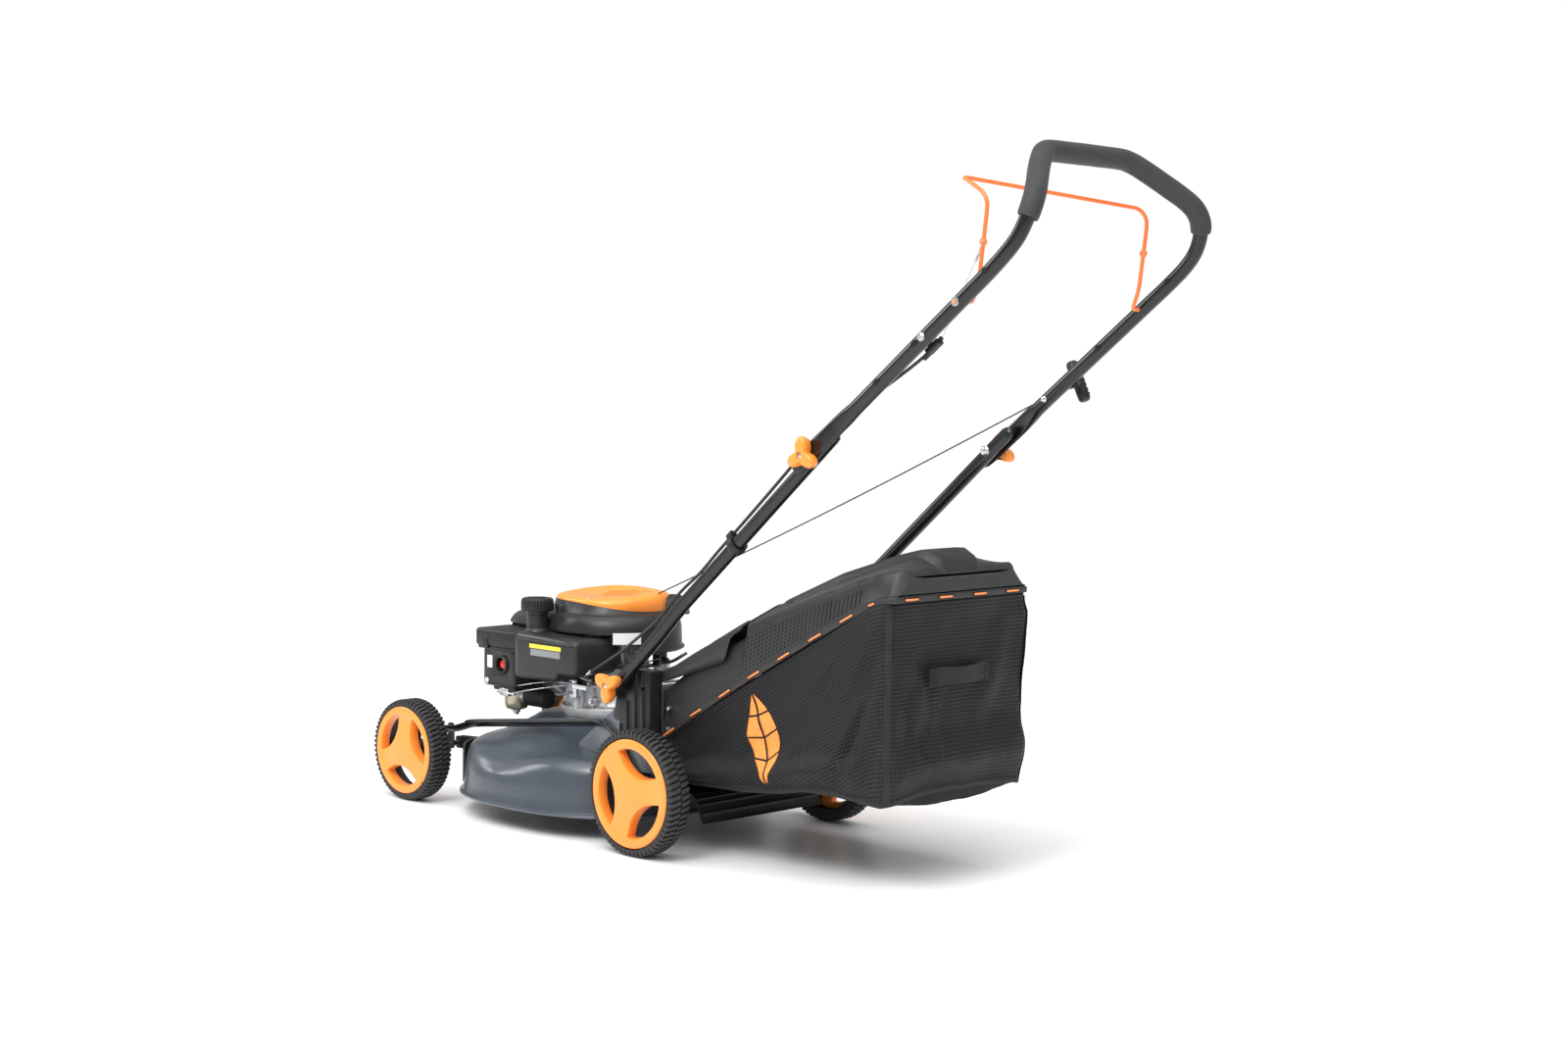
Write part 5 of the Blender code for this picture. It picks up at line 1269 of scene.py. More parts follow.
WALL_LENGTH = 2 * SIDE_RUN + math.pi * BAG_BEND + 2 * (WALL_X - BAG_BEND)
CORNER_S = 0.4819                # distance along the rim of the rear left corner's seam
# pulls in the cloth, in (distance along the rim, height share down) pairs: start, end, width, depth
FOLDS = ((0.466, 0.04, 0.3, 0.95, 0.038, 0.0085), (0.478, 0.3, 0.405, 0.97, 0.026, 0.008),
         (0.44, 0.25, 0.345, 0.72, 0.032, -0.007), (0.335, 0.5, 0.225, 0.98, 0.032, 0.0055),
         (0.205, 0.4, 0.075, 0.95, 0.026, 0.0048), (0.41, 0.84, 0.24, 0.88, 0.024, 0.006),
         (0.428, 0.52, 0.372, 0.9, 0.014, -0.005), (0.448, 0.44, 0.4, 0.8, 0.01, 0.0034),
         (0.498, 0.08, 0.6, 0.8, 0.036, 0.0058), (0.505, 0.86, 0.78, 0.8, 0.04, 0.0078),
         (0.56, 0.36, 0.535, 0.78, 0.013, 0.0036), (0.588, 0.4, 0.56, 0.8, 0.013, -0.0034),
         (0.612, 0.44, 0.585, 0.84, 0.012, 0.0028), (0.76, 0.1, 0.69, 0.7, 0.034, 0.0048),
         (0.8, 0.12, 0.88, 0.95, 0.038, 0.008), (0.84, 0.35, 0.96, 0.75, 0.032, -0.0065),
         (0.98, 0.4, 1.08, 0.97, 0.032, 0.0055), (1.07, 0.3, 1.18, 0.92, 0.028, -0.0045))


def bag_wall(s, t, lift=0.0):
    """Cloth wall: s along the rim, t from the rim (0) to the floor seam (1); lift raises a print off it."""
    point, normal = bag_rim(s)
    top = table(LID_ROWS, point.y)[0] + 0.0004
    low = table(BAG_FLOOR, point.y)[0]
    edge_in = 0.004 * t
    z = top + (low - top) * t
    corner = min(abs(s - CORNER_S), abs(s - (WALL_LENGTH - CORNER_S)))
    slack = (1 - hump(corner, 0, 0.07))
    swell = math.sin(math.pi * min(1, t * 1.15))
    belly = -0.0075 * swell * slack + 0.008 * hump(t, 0.86, 0.13)
    belly += 0.0045 * hump(corner, 0, 0.05) * hump(t, 0.7, 0.22)
    pull = 0.0
    tall = top - low
    for s0, t0, s1, t1, width, depth in FOLDS:
        a, b, p = Vector((s0, t0 * tall)), Vector((s1, t1 * tall)), Vector((s, t * tall))
        share = max(0.0, min(1.0, (p - a).dot(b - a) / (b - a).length_squared))
        gap = (p - a.lerp(b, share)).length
        crest = math.exp(-(gap / (width * 0.62)) ** 2) - 0.4 * math.exp(-((gap - width) / (width * 0.6)) ** 2)
        pull += depth * crest * (0.35 + 0.65 * math.sin(math.pi * (0.12 + 0.76 * share)))
    ripple = noise.noise(Vector((s * 16 + 3.1 + t * 2, t * 4.0, 0.7))) * 0.0026
    ripple += noise.noise(Vector((s * 8, t * 3, 5.2))) * 0.0034
    crinkle = noise.noise(Vector((s * 70 + t * 22, t * 19 - s * 30, 1.7))) * 0.0006
    hold = min(1.0, t / 0.1) ** 1.5 * (1 - 0.75 * math.exp(-((1 - t) / 0.05) ** 2))
    front = min(1.0, min(s, WALL_LENGTH - s) / 0.05)
    out = (belly + pull + (ripple + crinkle)) * hold * (0.25 + 0.75 * front)
    sag = -0.0065 * hump(t, 1, 0.1) * hump(corner, 0, 0.06)
    hem = noise.noise(Vector((s * 14, 2.3, 8.1))) * 0.004 * t ** 4 * front
    return point + normal * (out - edge_in + lift) + Vector((0, 0, z + sag + hem))


def make_bag_cloth():
    along, down = 330, 66
    verts, uvs, faces = [], [], []
    for i in range(along + 1):
        s = WALL_LENGTH * i / along
        tall = table(LID_ROWS, bag_rim(s)[0].y)[0] - table(BAG_FLOOR, bag_rim(s)[0].y)[0]
        for j in range(down + 1):
            t = j / down
            verts.append(bag_wall(s, t))
            uvs.append((s, -t * tall))
    for i in range(along):
        for j in range(down):
            a = i * (down + 1) + j
            faces.append((a, a + 1, a + down + 2, a + down + 1))
    # floor panel between the two side hems
    rows = [i for i in range(along + 1) if WALL_LENGTH * i / along < SIDE_RUN + 0.0157]
    across = 40
    grid = []
    for i in rows:
        left = i * (down + 1) + down
        right = (along - i) * (down + 1) + down
        line = [left]
        for k in range(1, across):
            share = k / across
            p = verts[left].lerp(verts[right], share)
            droop = -0.012 * math.sin(math.pi * share) * min(1.0,
                    max(0.0, (WALL_LENGTH * i / along - 0.12) / 0.12))
            p = p + Vector((0, 0, droop + 0.0025 * noise.noise(p * 13) + 0.001 * noise.noise(p * 45)))
            line.append(len(verts))
            verts.append(p)
            uvs.append((p.x, p.y))
        line.append(right)
        grid.append(line)
    for r in range(len(grid) - 1):
        for k in range(across):
            faces.append((grid[r][k], grid[r][k + 1], grid[r + 1][k + 1], grid[r + 1][k]))
    back = list(range(rows[-1], along - rows[-1] + 1))
    rim = [i * (down + 1) + down for i in back]
    end = grid[-1]
    count_a, count_b = len(rim) - 1, len(end) - 1
    i = j = 0
    while i < count_a or j < count_b:
        if j == count_b or (i < count_a and (i + 1) / count_a <= (j + 1) / count_b):
            faces.append((end[j], rim[i], rim[i + 1]) if rim[i] != end[j]
                         else (end[j], rim[i + 1], rim[i + 1]))
            i += 1
        else:
            faces.append((end[j], rim[i], end[j + 1]))
            j += 1
    faces = [f for f in faces if len(set(f)) == len(f)]
    obj = emit("bag_cloth", (verts, faces), CLOTH, "grass_bag", ["bag_fabric"], smooth=180,
               uvs=uvs)
    thicken(obj, 0.0009)
    obj.data.shade_smooth()

    seam = Shape()
    tape = [(0.0007, 0.0055), (0.0014, 0.003), (0.0014, -0.003), (0.0007, -0.0055), (-0.0012, -0.003),
            (-0.0012, 0.003)]
    rings = []
    for s in [WALL_LENGTH * i / 260 for i in range(261)]:
        p, normal = bag_wall(s, 1.0), bag_rim(s)[1]
        rings.append([p + normal * (a + 0.0003) + Vector((0, 0, b + 0.002)) for a, b in tape])
    seam.add(bridge(rings))
    for s in (CORNER_S, WALL_LENGTH - CORNER_S):
        rings = []
        normal = bag_rim(s)[1]
        side = Vector((-normal.y, normal.x, 0))
        for t in np.linspace(0.02, 1.0, 50):
            p = bag_wall(s, t)
            rings.append([p + normal * (a + 0.0003) + side * b for a, b in tape])
        seam.add(bridge(rings))
    emit("bag_seam_tape", seam, BINDING, "grass_bag", smooth=60)
    stitches = Shape()
    for k in range(250):
        s = WALL_LENGTH * (k + 0.5) / 250
        a, b = bag_wall(s, 0.985, 0.0016), bag_wall(s + 0.0026, 0.985, 0.0016)
        stitches.add(sweep([a, (a + b) / 2 + bag_rim(s)[1] * 0.0003, b], 0.00035, 5))
    emit("bag_stitches", stitches, WEBBING, "grass_bag", smooth=60)

    # plain leaf printed on the left side
    leaf = Shape()
    foot, tip, widest = Vector((-0.236, 0.14)), Vector((-0.19, 0.276)), 0.032
    line = tip - foot
    cross = Vector((line.y, -line.x)).normalized()
    for hand in (-1, 1):
        for part in range(4):
            verts, faces = [], []
            n_long, n_wide = 14, 6
            for i in range(n_long + 1):
                v = part / 4 + (i / n_long) * (1 / 4 - 0.022) + 0.011
                wide = widest * math.sin(math.pi * v ** 0.85) ** 0.9
                for j in range(n_wide + 1):
                    reach = 0.0022 + (wide - 0.0022) * j / n_wide
                    shift = 0.1 * (reach / widest) * (1 - v)
                    q = foot + line * min(0.995, v + shift) + cross * hand * reach
                    s = 0.008 - q.x
                    top, low = table(LID_ROWS, q.x)[0] + 0.0004, table(BAG_FLOOR, q.x)[0]
                    t = (q.y - top) / (low - top)
                    verts.append(bag_wall(s, t, 0.0007))
            for i in range(n_long):
                for j in range(n_wide):
                    a = i * (n_wide + 1) + j
                    faces.append((a, a + 1, a + n_wide + 2, a + n_wide + 1))
            leaf.add((verts, faces))
    print_obj = emit("bag_leaf_print", leaf, ORANGE_PRINT, "grass_bag", smooth=180)
    thicken(print_obj, 0.0005, 0)

    strap = Shape()
    rings = []
    for share in np.linspace(0, 1, 40):
        x = -0.074 + 0.138 * share
        bow = 0.006 * math.sin(math.pi * min(1, max(0, (share - 0.08) / 0.84))) ** 0.7
        base_y = min(bag_wall(SIDE_RUN + math.pi / 2 * BAG_BEND + (x + WALL_X - BAG_BEND), 0.4).y,
                     BACK_Y - 0.001)
        y = max(base_y - 0.0012 - bow, -0.4862)
        tilt = 0.0012 * math.sin(share * 9)
        rings.append([(x, y - 0.0008, 0.3085 + tilt), (x, y - 0.0009, 0.322),
                      (x, y - 0.0008, 0.3355 + tilt), (x, y + 0.0008, 0.3355 + tilt),
                      (x, y + 0.0008, 0.322), (x, y + 0.0008, 0.3085 + tilt)])
    strap.add(bridge(rings))
    band = emit("bag_carry_strap", strap, WEBBING, "grass_bag", ["bag_strap"], smooth=50,
                uvs=[(p.x, p.z) for p in strap.verts])
    tacks = Shape()
    for x in (-0.066, 0.057):
        for a, b in (((-0.006, 0.311), (0.006, 0.333)), ((-0.006, 0.333), (0.006, 0.311)),
                     ((-0.006, 0.311), (-0.006, 0.333)), ((0.006, 0.311), (0.006, 0.333)),
                     ((-0.006, 0.333), (0.006, 0.333)), ((-0.006, 0.311), (0.006, 0.311))):
            tacks.add(sweep([(x + a[0], -0.4846, a[1]), (x + b[0], -0.4846, b[1])], 0.0004, 5))
    emit("strap_tacks", tacks, BINDING, "grass_bag")


ORANGE_PRINT = look("orange_print", (0.95, 0.3, 0.055), 0.55, spread=0.12, patch=120, grain=1300,
                    depth=0.0002)
make_bag_cloth()


# ---------------------------------------------------------------- rear flap and trailing shield
FLAP = ((0.03, 0.268, 0.287, 0.288), (-0.01, 0.279, 0.3, 0.312), (-0.06, 0.2965, 0.327, 0.35),
        (-0.124, 0.3185, 0.3585, 0.385), (-0.131, 0.325, 0.362, 0.3885), (-0.137, 0.342, 0.365, 0.3915),
        (-0.142, 0.356, 0.3675, 0.394), (-0.15, 0.364, 0.372, 0.399), (-0.167, 0.3735, 0.38, 0.408))


def make_flap():
    sections, ys = [], list(np.linspace(0.03, -0.12, 30)) + list(np.linspace(-0.1225, -0.167, 24))
    for y in ys:
        skirt, side, top = table(FLAP, y)
        half, crown = 0.16, 0.08
        skirt = min(skirt, side - 0.0035)
        points = [(half + 0.003, skirt), (half + 0.003, skirt + (side - skirt) * 0.5),
                  (half + 0.0028, side - 0.003), (half + 0.0008, side - 0.0006),
                  (half - 0.004, side + 0.0014)]
        a, b = Vector(points[-1]), Vector((crown + 0.006, top - 0.002))
        points += [tuple(a.lerp(b, k / 6)) for k in range(1, 7)]
        points += [(crown, top - 0.0002), (crown - 0.008, top + 0.0003), (crown * 0.4, top + 0.0006),
                   (0, top + 0.0006)]
        left = [Vector((-x, y, z)) for x, z in points]
        sections.append(left + [Vector((-p.x, p.y, p.z)) for p in reversed(left[:-1])])
    obj = emit("flap_skin", bridge(sections, closed=False, ends=False), LID, "rear_flap",
               ["rear_flap"], smooth=34)
    thicken(obj, 0.0026)
    detail = Shape()
    for x in (-0.045, 0.045):
        line = [(x, y, table(FLAP, y)[2] + 0.0006) for y in np.linspace(0.01, -0.15, 20)]
        detail.add(sweep(line, 0.0022, 10))
    for hand in (-1, 1):
        line = [(hand * 0.118, y, table(FLAP,
                                        y)[1] + (table(FLAP, y)[2] - table(FLAP, y)[1]) * 0.52 + 0.0008)
                for y in np.linspace(0.004, -0.14, 20)]
        detail.add(sweep(line, 0.0022, 10))
    for x in (-0.128, -0.05, 0.05, 0.128):
        detail.add(peg((x - 0.014, 0.028, 0.281), (x + 0.014, 0.028, 0.281), 0.0062, 24, 0.0008))
    emit("flap_ribs", detail, LID, "rear_flap", smooth=50)


make_flap()


def make_shield():
    """Ribbed rubber panel that hangs from the rear axle."""
    line = smooth_path([(0.046, 0.1165, 0), (0.03, 0.111, 0), (0.0, 0.106, 0), (-0.034, 0.09, 0),
                        (-0.047, 0.076, 0), (-0.06, 0.047, 0)], 14)
    outer, inner = [], []
    for k, p in enumerate(line):
        before, after = line[max(0, k - 1)], line[min(len(line) - 1, k + 1)]
        way = (after - before).normalized()
        normal = Vector((way.y, -way.x, 0))
        normal = normal if normal.y > 0 or normal.x < 0 else -normal
        bead = 0.0013 * max(0.0, math.cos(2 * math.pi * k / 7.0)) ** 3
        outer.append((p.x + normal.x * (0.0016 + bead), p.y + normal.y * (0.0016 + bead)))
        inner.append((p.x - normal.x * 0.0016, p.y - normal.y * 0.0016))
    rings = []
    for x in (-0.138, -0.1372, -0.136, 0.136, 0.1372, 0.138):
        shrink = 0.0006 if abs(x) > 0.1375 else 0.0
        rings.append([(x, y, z - shrink) for y, z in outer] + [(x, y, z + shrink)
                for y, z in reversed(inner)])
    panel = Shape(bridge(rings))
    for x in (-0.105, 0.0, 0.105):
        panel.add(turned([(0.0057, -0.014), (0.009, -0.014), (0.009, 0.014), (0.0057, 0.014)],
                         (x, 0.048, 0.112), "X", 28))
    emit("shield_panel", panel, BLACK, "trailing_shield", ["trailing_shield"], smooth=40)


make_shield()


# ---------------------------------------------------------------- handle brackets
def make_bracket(hand, word):
    outline = [(0.012, 0.176), (0.085, 0.176), (0.085, 0.204), (0.1, 0.206), (0.1, 0.216), (0.093, 0.24),
               (0.096, 0.262), (0.086, 0.274), (0.066, 0.274), (0.048, 0.292), (0.012, 0.292)]
    body = prism(rounded_outline(outline, 0.004, 4), hand * 0.1633, hand * 0.19, 0.001)
    cuts = [slab((min(hand * 0.1872, hand * 0.198), y - 0.006, 0.182),
                 (max(hand * 0.1872, hand * 0.198), y + 0.006, z), 0.0015)
            for y, z in ((0.022, 0.286), (0.041, 0.286), (0.06, 0.24), (0.078, 0.2))]
    cuts.append(peg((hand * 0.15, 0.03, 0.262), (hand * 0.2, 0.03, 0.262), 0.003, 20))
    y, z = LOWER_KNOB
    cuts.append(peg((hand * 0.15, y, z), (hand * 0.2, y, z), 0.004, 24))
    emit("bracket_block_" + word, carved(body, cut=cuts), BLACK, "root",
         ["handle_bracket_" + word], bevel=0.0006)
    screw = bolt((hand * 0.1893, 0.07, 0.262), (hand, 0, 0), 0.0034, 0.0022)
    steel("bracket_screws_" + word, screw)


make_bracket(-1, "left")
make_bracket(1, "right")


# ---------------------------------------------------------------- engine
HOUSING_POSTS = ((0.105, 0.262), (0.098, 0.4), (-0.012, 0.196))
SHROUD_TOP = ((-0.2, 0.356), (-0.33, 0.3555), (-0.42, 0.3525), (-0.49, 0.345), (-0.515, 0.337),
              (-0.532, 0.322))


def shroud_outline(grow):
    """Plan of the fan housing: a round drum at the rear that runs into a tapering hood over the cylinder."""
    points = [(0.118 * math.cos(t), ENGINE_Y + 0.118 * math.sin(t))
              for t in np.linspace(math.radians(175), math.radians(365), 40)]
    right = [(0.1165, 0.335), (0.107, 0.38), (0.094, 0.43), (0.086, 0.48), (0.078, 0.512), (0.066, 0.527),
             (0.048, 0.5315)]
    points += right + [(-x, y) for x, y in reversed(right)]
    centre = Vector((0, 0.345))
    return [centre + (Vector(p) - centre) * (1 - grow / max(0.02, (Vector(p) - centre).length))
            for p in points]


def shroud_solid(inset, low, drop):
    rings = []
    for share, pull in ((0.0, 0.0), (0.1, 0.0), (0.14, 0.0015), (0.62, 0.003), (0.8, 0.006), (0.92, 0.012),
                        (0.985, 0.02), (1.0, 0.027)):
        ring = []
        for p in shroud_outline(inset + pull):
            top = float(np.interp(p.y, [-row[0] for row in SHROUD_TOP],
                                  [row[1] for row in SHROUD_TOP])) - drop
            ring.append((p.x, p.y, low + (top - low) * share))
        rings.append(ring)
    return bridge(rings)


def make_shroud():
    notch = slab((-0.15, 0.15, 0.28), (-0.0585, 0.56, 0.3235), 0.006)
    slots = []
    for k in range(7):
        angle = math.radians(-38 + 13 * k)
        place = Matrix.Translation((0, ENGINE_Y, 0)) @ Matrix.Rotation(angle, 4, "Z")
        verts, faces = slab((0.105, -0.004, 0.302), (0.13, 0.004, 0.334), 0.003)
        slots.append(([place @ v for v in verts], faces))
    slots.append(slab((-0.04, 0.515, 0.3), (0.04, 0.545, 0.306), 0.0015))
    shell = carved(shroud_solid(0, 0.29, 0), cut=[shroud_solid(0.0028, 0.28, 0.0028), notch, *slots])
    emit("fan_housing", shell, TANK, "root", ["engine_shroud"], bevel=0.0007, smooth=34)
    extra = Shape()
    band = [Vector((p.x * 1.006, ENGINE_Y + (p.y - ENGINE_Y) * 1.006, 0.2935)) for p in shroud_outline(0.0)
            if p.y < 0.345 and p.x > -0.0585]
    extra.add(sweep(band, 0.0026, 10))
    for x, y in HOUSING_POSTS:
        extra.add(peg((x * 0.985, y, 0.288), (x * 0.985, y, 0.318), 0.0065, 20, 0.001))
    # collar that the starter cover sits on: high in front, low behind
    collar = []
    for share, grow in ((0.0, 0.014), (0.3, 0.008), (0.75, 0.003), (0.97, 0.0012), (1.0, -0.004)):
        collar.append([(p.x, p.y, 0.349 + (cover_edge(p) + 0.0004 - 0.349) * share)
                       for p in cover_outline(grow)])
    extra.add(bridge(collar))
    emit("fan_housing_trim", extra, TANK, "root")
    screws = [bolt((x * 0.985, y, 0.3178), (0, 0, 1), 0.0042, 0.003) for x, y in HOUSING_POSTS]
    steel("fan_housing_screws", screws)
    label = Shape()
    rings = []
    for angle in np.linspace(math.radians(226), math.radians(250), 8):
        way = Vector((math.cos(angle), math.sin(angle), 0))
        low_p, high_p = (Vector((0, ENGINE_Y, z)) + way * r for z, r in ((0.3075, 0.117), (0.327, 0.116)))
        rings.append([low_p + way * 0.0002, high_p + way * 0.0002, high_p + way * 0.0007,
                      low_p + way * 0.0007])
    label.add(bridge(rings))
    emit("housing_plain_label", label, PALE, "root")


def cover_outline(grow):
    """Starter cover's plan: rounded, drawn out to a corner at the rear right."""
    corners = [(-0.088, 0.352), (-0.084, 0.276), (-0.05, 0.236), (0.022, 0.222), (0.07, 0.24), (0.09, 0.33),
               (0.068, 0.392), (0.0, 0.414), (-0.064, 0.402)]
    outline = rounded_outline(corners, [0.03, 0.03, 0.032, 0.035, 0.01, 0.04, 0.034, 0.036, 0.034], 6)
    centre = Vector((0.0, 0.318))
    return [centre + (p - centre) * (1 + grow / (p - centre).length) for p in outline]


def cover_edge(p):
    """Height of the joint between black housing and cover: it climbs towards the front left."""
    toward = max(-1.0, min(1.0, (p.x * 0.7 - (p.y - 0.318) * 0.71) / 0.092))
    share = 0.5 - 0.5 * math.sin(toward * math.pi / 2)
    return 0.3575 + 0.0175 * share


def make_cover():
    def level(share, grow):
        ring = []
        for p in cover_outline(grow):
            toward = (p.x * 0.7 - (p.y - 0.318) * 0.71) / 0.1
            away = (p.x * 0.71 + (p.y - 0.318) * 0.7) / 0.1
            top = 0.387 + 0.0045 * toward + 0.0065 * away
            low_z = cover_edge(p)
            ring.append((p.x, p.y, low_z + (top - low_z) * share))
        return ring
    levels = [level(*pair) for pair in ((0.0, 0.0), (0.42, -0.0006), (0.7, -0.0022), (0.86, -0.0062),
                                        (0.95, -0.0125), (0.99, -0.02), (1.0, -0.03), (0.9, -0.033),
                                        (0.88, -0.062))]
    solid = bridge(levels)
    inner = bridge([[(x * 0.955, ENGINE_Y + (y - ENGINE_Y) * 0.955, z - 0.0028 if n else 0.345)
                     for x, y, z in ring] for n, ring in enumerate(levels)])
    cuts = [inner]
    turn = Matrix.Translation((0.012, 0.306, 0.385)) @ Matrix.Rotation(math.radians(-45), 4, "Z")
    for k in range(6):
        verts, faces = slab((-0.036 + 0.002 * k, -0.03 + 0.0105 * k, -0.03),
                            (0.036 - 0.002 * k, -0.024 + 0.0105 * k, 0.03), 0.0022)
        cuts.append(([turn @ v for v in verts], faces))
    emit("starter_cover", carved(solid, cut=cuts), ORANGE, "root", ["recoil_cover"],
         bevel=0.0008, smooth=40)
    emit("starter_screen", [turned([(0, 0.378), (0.056, 0.376), (0.056, 0.3745), (0, 0.3765)],
                                   (0.004, 0.306, 0), "Z", 48), turned([(0, 0.3835), (0.016, 0.3825),
            (0.026, 0.378), (0.031, 0.369), (0.033, 0.35), (0, 0.35)], (0.072, 0.246, 0), "Z", 56)], BLACK,
         "root", smooth=60)
    heads = [bolt((x, y, 0.3795), (0, 0, 1), 0.0042, 0.0028)
             for x, y in ((-0.07, 0.3), (0.012, 0.236), (0.03, 0.392))]
    steel("starter_cover_screws", heads)


make_shroud()
make_cover()


def rounded_box_ring(x0, x1, z0, z1, y, radius, steps=5):
    outline = rounded_outline([(x0, z0), (x1, z0), (x1, z1), (x0, z1)], radius, steps)
    return [(p.x, y, p.y) for p in outline]


def make_tank():
    rings = []
    for y, low_z, high_z, inset, radius in ((0.2355, 0.268, 0.304, 0.008, 0.006),
                                            (0.2366, 0.262, 0.31, 0.004, 0.01),
                                            (0.24, 0.257, 0.315, 0.001, 0.012),
                                            (0.244, 0.255, 0.317, 0.0, 0.013),
                                            (0.285, 0.253, 0.3185, 0.0, 0.014),
                                            (0.288, 0.246, 0.3187, 0.0, 0.014),
                                            (0.293, 0.2425, 0.319, 0.0, 0.014),
                                            (0.34, 0.241, 0.3205, 0.0, 0.014),
                                            (0.388, 0.2395, 0.3215, 0.0, 0.014),
                                            (0.396, 0.24, 0.321, 0.001, 0.013),
                                            (0.4005, 0.243, 0.318, 0.004, 0.011),
                                            (0.402, 0.248, 0.313, 0.009, 0.008)):
        rings.append(rounded_box_ring(-0.156 + inset, -0.062, low_z, high_z, y, radius))
    tank = Shape(bridge(rings))
    weld = [(-0.1562 + 0.004, 0.2372, 0.3085), (-0.1562, 0.244, 0.3087), (-0.1562, 0.39, 0.31),
            (-0.15, 0.401, 0.31), (-0.068, 0.4018, 0.31)]
    tank.add(sweep(rounded_path([(-0.068, 0.236, 0.308)] + weld, 0.008, 5), 0.0011, 8))
    tank.add(turned([(0, 0.318), (0.0225, 0.318), (0.0215, 0.3235), (0.0185, 0.3265), (0.0175, 0.3495),
                     (0.0192, 0.3505), (0.0192, 0.3555), (0, 0.3555)], (-0.12, 0.38, 0), "Z", 48))
    tank.add(turned([(0, 0.315), (0.0135, 0.315), (0.012, 0.33), (0.0112, 0.342), (0.0125, 0.347),
                     (0.013, 0.364), (0.0115, 0.3675), (0, 0.3675)], (-0.0825, 0.358, 0), "Z", 40))
    for y in (0.262, 0.33):
        tank.add(slab((-0.07, y - 0.01, 0.312), (-0.0605, y + 0.01, 0.3225), 0.002))
    emit("fuel_tank_shell", tank, TANK, "root", ["fuel_tank"], smooth=42)
    labels = Shape(slab((-0.1566, 0.274, 0.2965), (-0.1558, 0.357, 0.3035), 0.0004))
    labels.add(slab((-0.1566, 0.276, 0.2835), (-0.1558, 0.354, 0.295), 0.0004), 1)
    emit("tank_plain_labels", labels, [YELLOW, GREY_BAND], "root")

    cap = []
    for z, radius, ridge in ((0.356, 0.0262, 0.0), (0.3572, 0.0278, 0.3), (0.359, 0.0284, 1.0),
                             (0.3735, 0.0284, 1.0), (0.3765, 0.0272, 0.3), (0.3785, 0.0245, 0.0),
                             (0.3785, 0.019, 0.0), (0.3765, 0.017, 0.0)):
        ring = []
        for t in np.linspace(0, 2 * math.pi, 180, endpoint=False):
            knurled = radius - ridge * 0.0011 * (0.5 - 0.5 * math.cos(30 * t)) ** 2
            ring.append((-0.12 + knurled * math.cos(t), 0.38 + knurled * math.sin(t), z))
        cap.append(ring)
    emit("fuel_cap_knurled", [bridge(cap), slab((-0.134, 0.3775, 0.376), (-0.106, 0.3825, 0.3788), 0.001)],
         BLACK, "fuel_cap", ["fuel_cap"], smooth=35)


make_tank()


def make_filter():
    box = slab((-0.129, 0.432, 0.213), (-0.0605, 0.52, 0.29), 0.007, 4)
    foot = slab((-0.122, 0.44, 0.206), (-0.07, 0.5, 0.225), 0.004)
    pocket = [peg((-0.14, 0.465, 0.254), (-0.1105, 0.465, 0.254), 0.015, 40)]
    lid = slab((-0.137, 0.4105, 0.284), (-0.0605, 0.532, 0.3155), 0.006, 4)
    ledge = slab((-0.1335, 0.418, 0.279), (-0.0625, 0.528, 0.286), 0.0025)
    emit("filter_case", carved(box, add=[foot], cut=pocket), TANK, "root",
         ["air_filter_box"], bevel=0.0006)
    upper = Shape(lid, ledge, slab((-0.1385, 0.495, 0.281), (-0.1335, 0.512, 0.3), 0.0015))
    for k in range(4):
        upper.add(slab((-0.12 + 0.015 * k, 0.425, 0.3148), (-0.113 + 0.015 * k, 0.515, 0.3168), 0.0008))
    black("filter_lid", upper)
    black("primer_collar", turned([(0.013, 0.0), (0.0165, 0.0), (0.0165, 0.0035), (0.015, 0.005),
                                   (0.013, 0.005)], (-0.1285, 0.465, 0.254), "-X", 48))
    emit("filter_plain_label", slab((-0.1296, 0.492, 0.246), (-0.1288, 0.506, 0.268), 0.0004), PALE, "root")
    bulb = turned([(0.0, 0.0), (0.0105, 0.0), (0.0108, 0.0025), (0.01, 0.006), (0.0078, 0.0092),
                   (0.0045, 0.011), (0.0, 0.0115)], (-0.1183, 0.465, 0.254), "-X", 40)
    emit("primer_dome", bulb, RED, "primer_bulb", ["primer_bulb"], smooth=60)
    steel("filter_stud", [peg((-0.095, 0.52, 0.238), (-0.095, 0.53, 0.238), 0.0045, 16, 0.0008),
                          bolt((-0.1285, 0.508, 0.222), (-1, 0, 0), 0.0042, 0.003)])


make_filter()


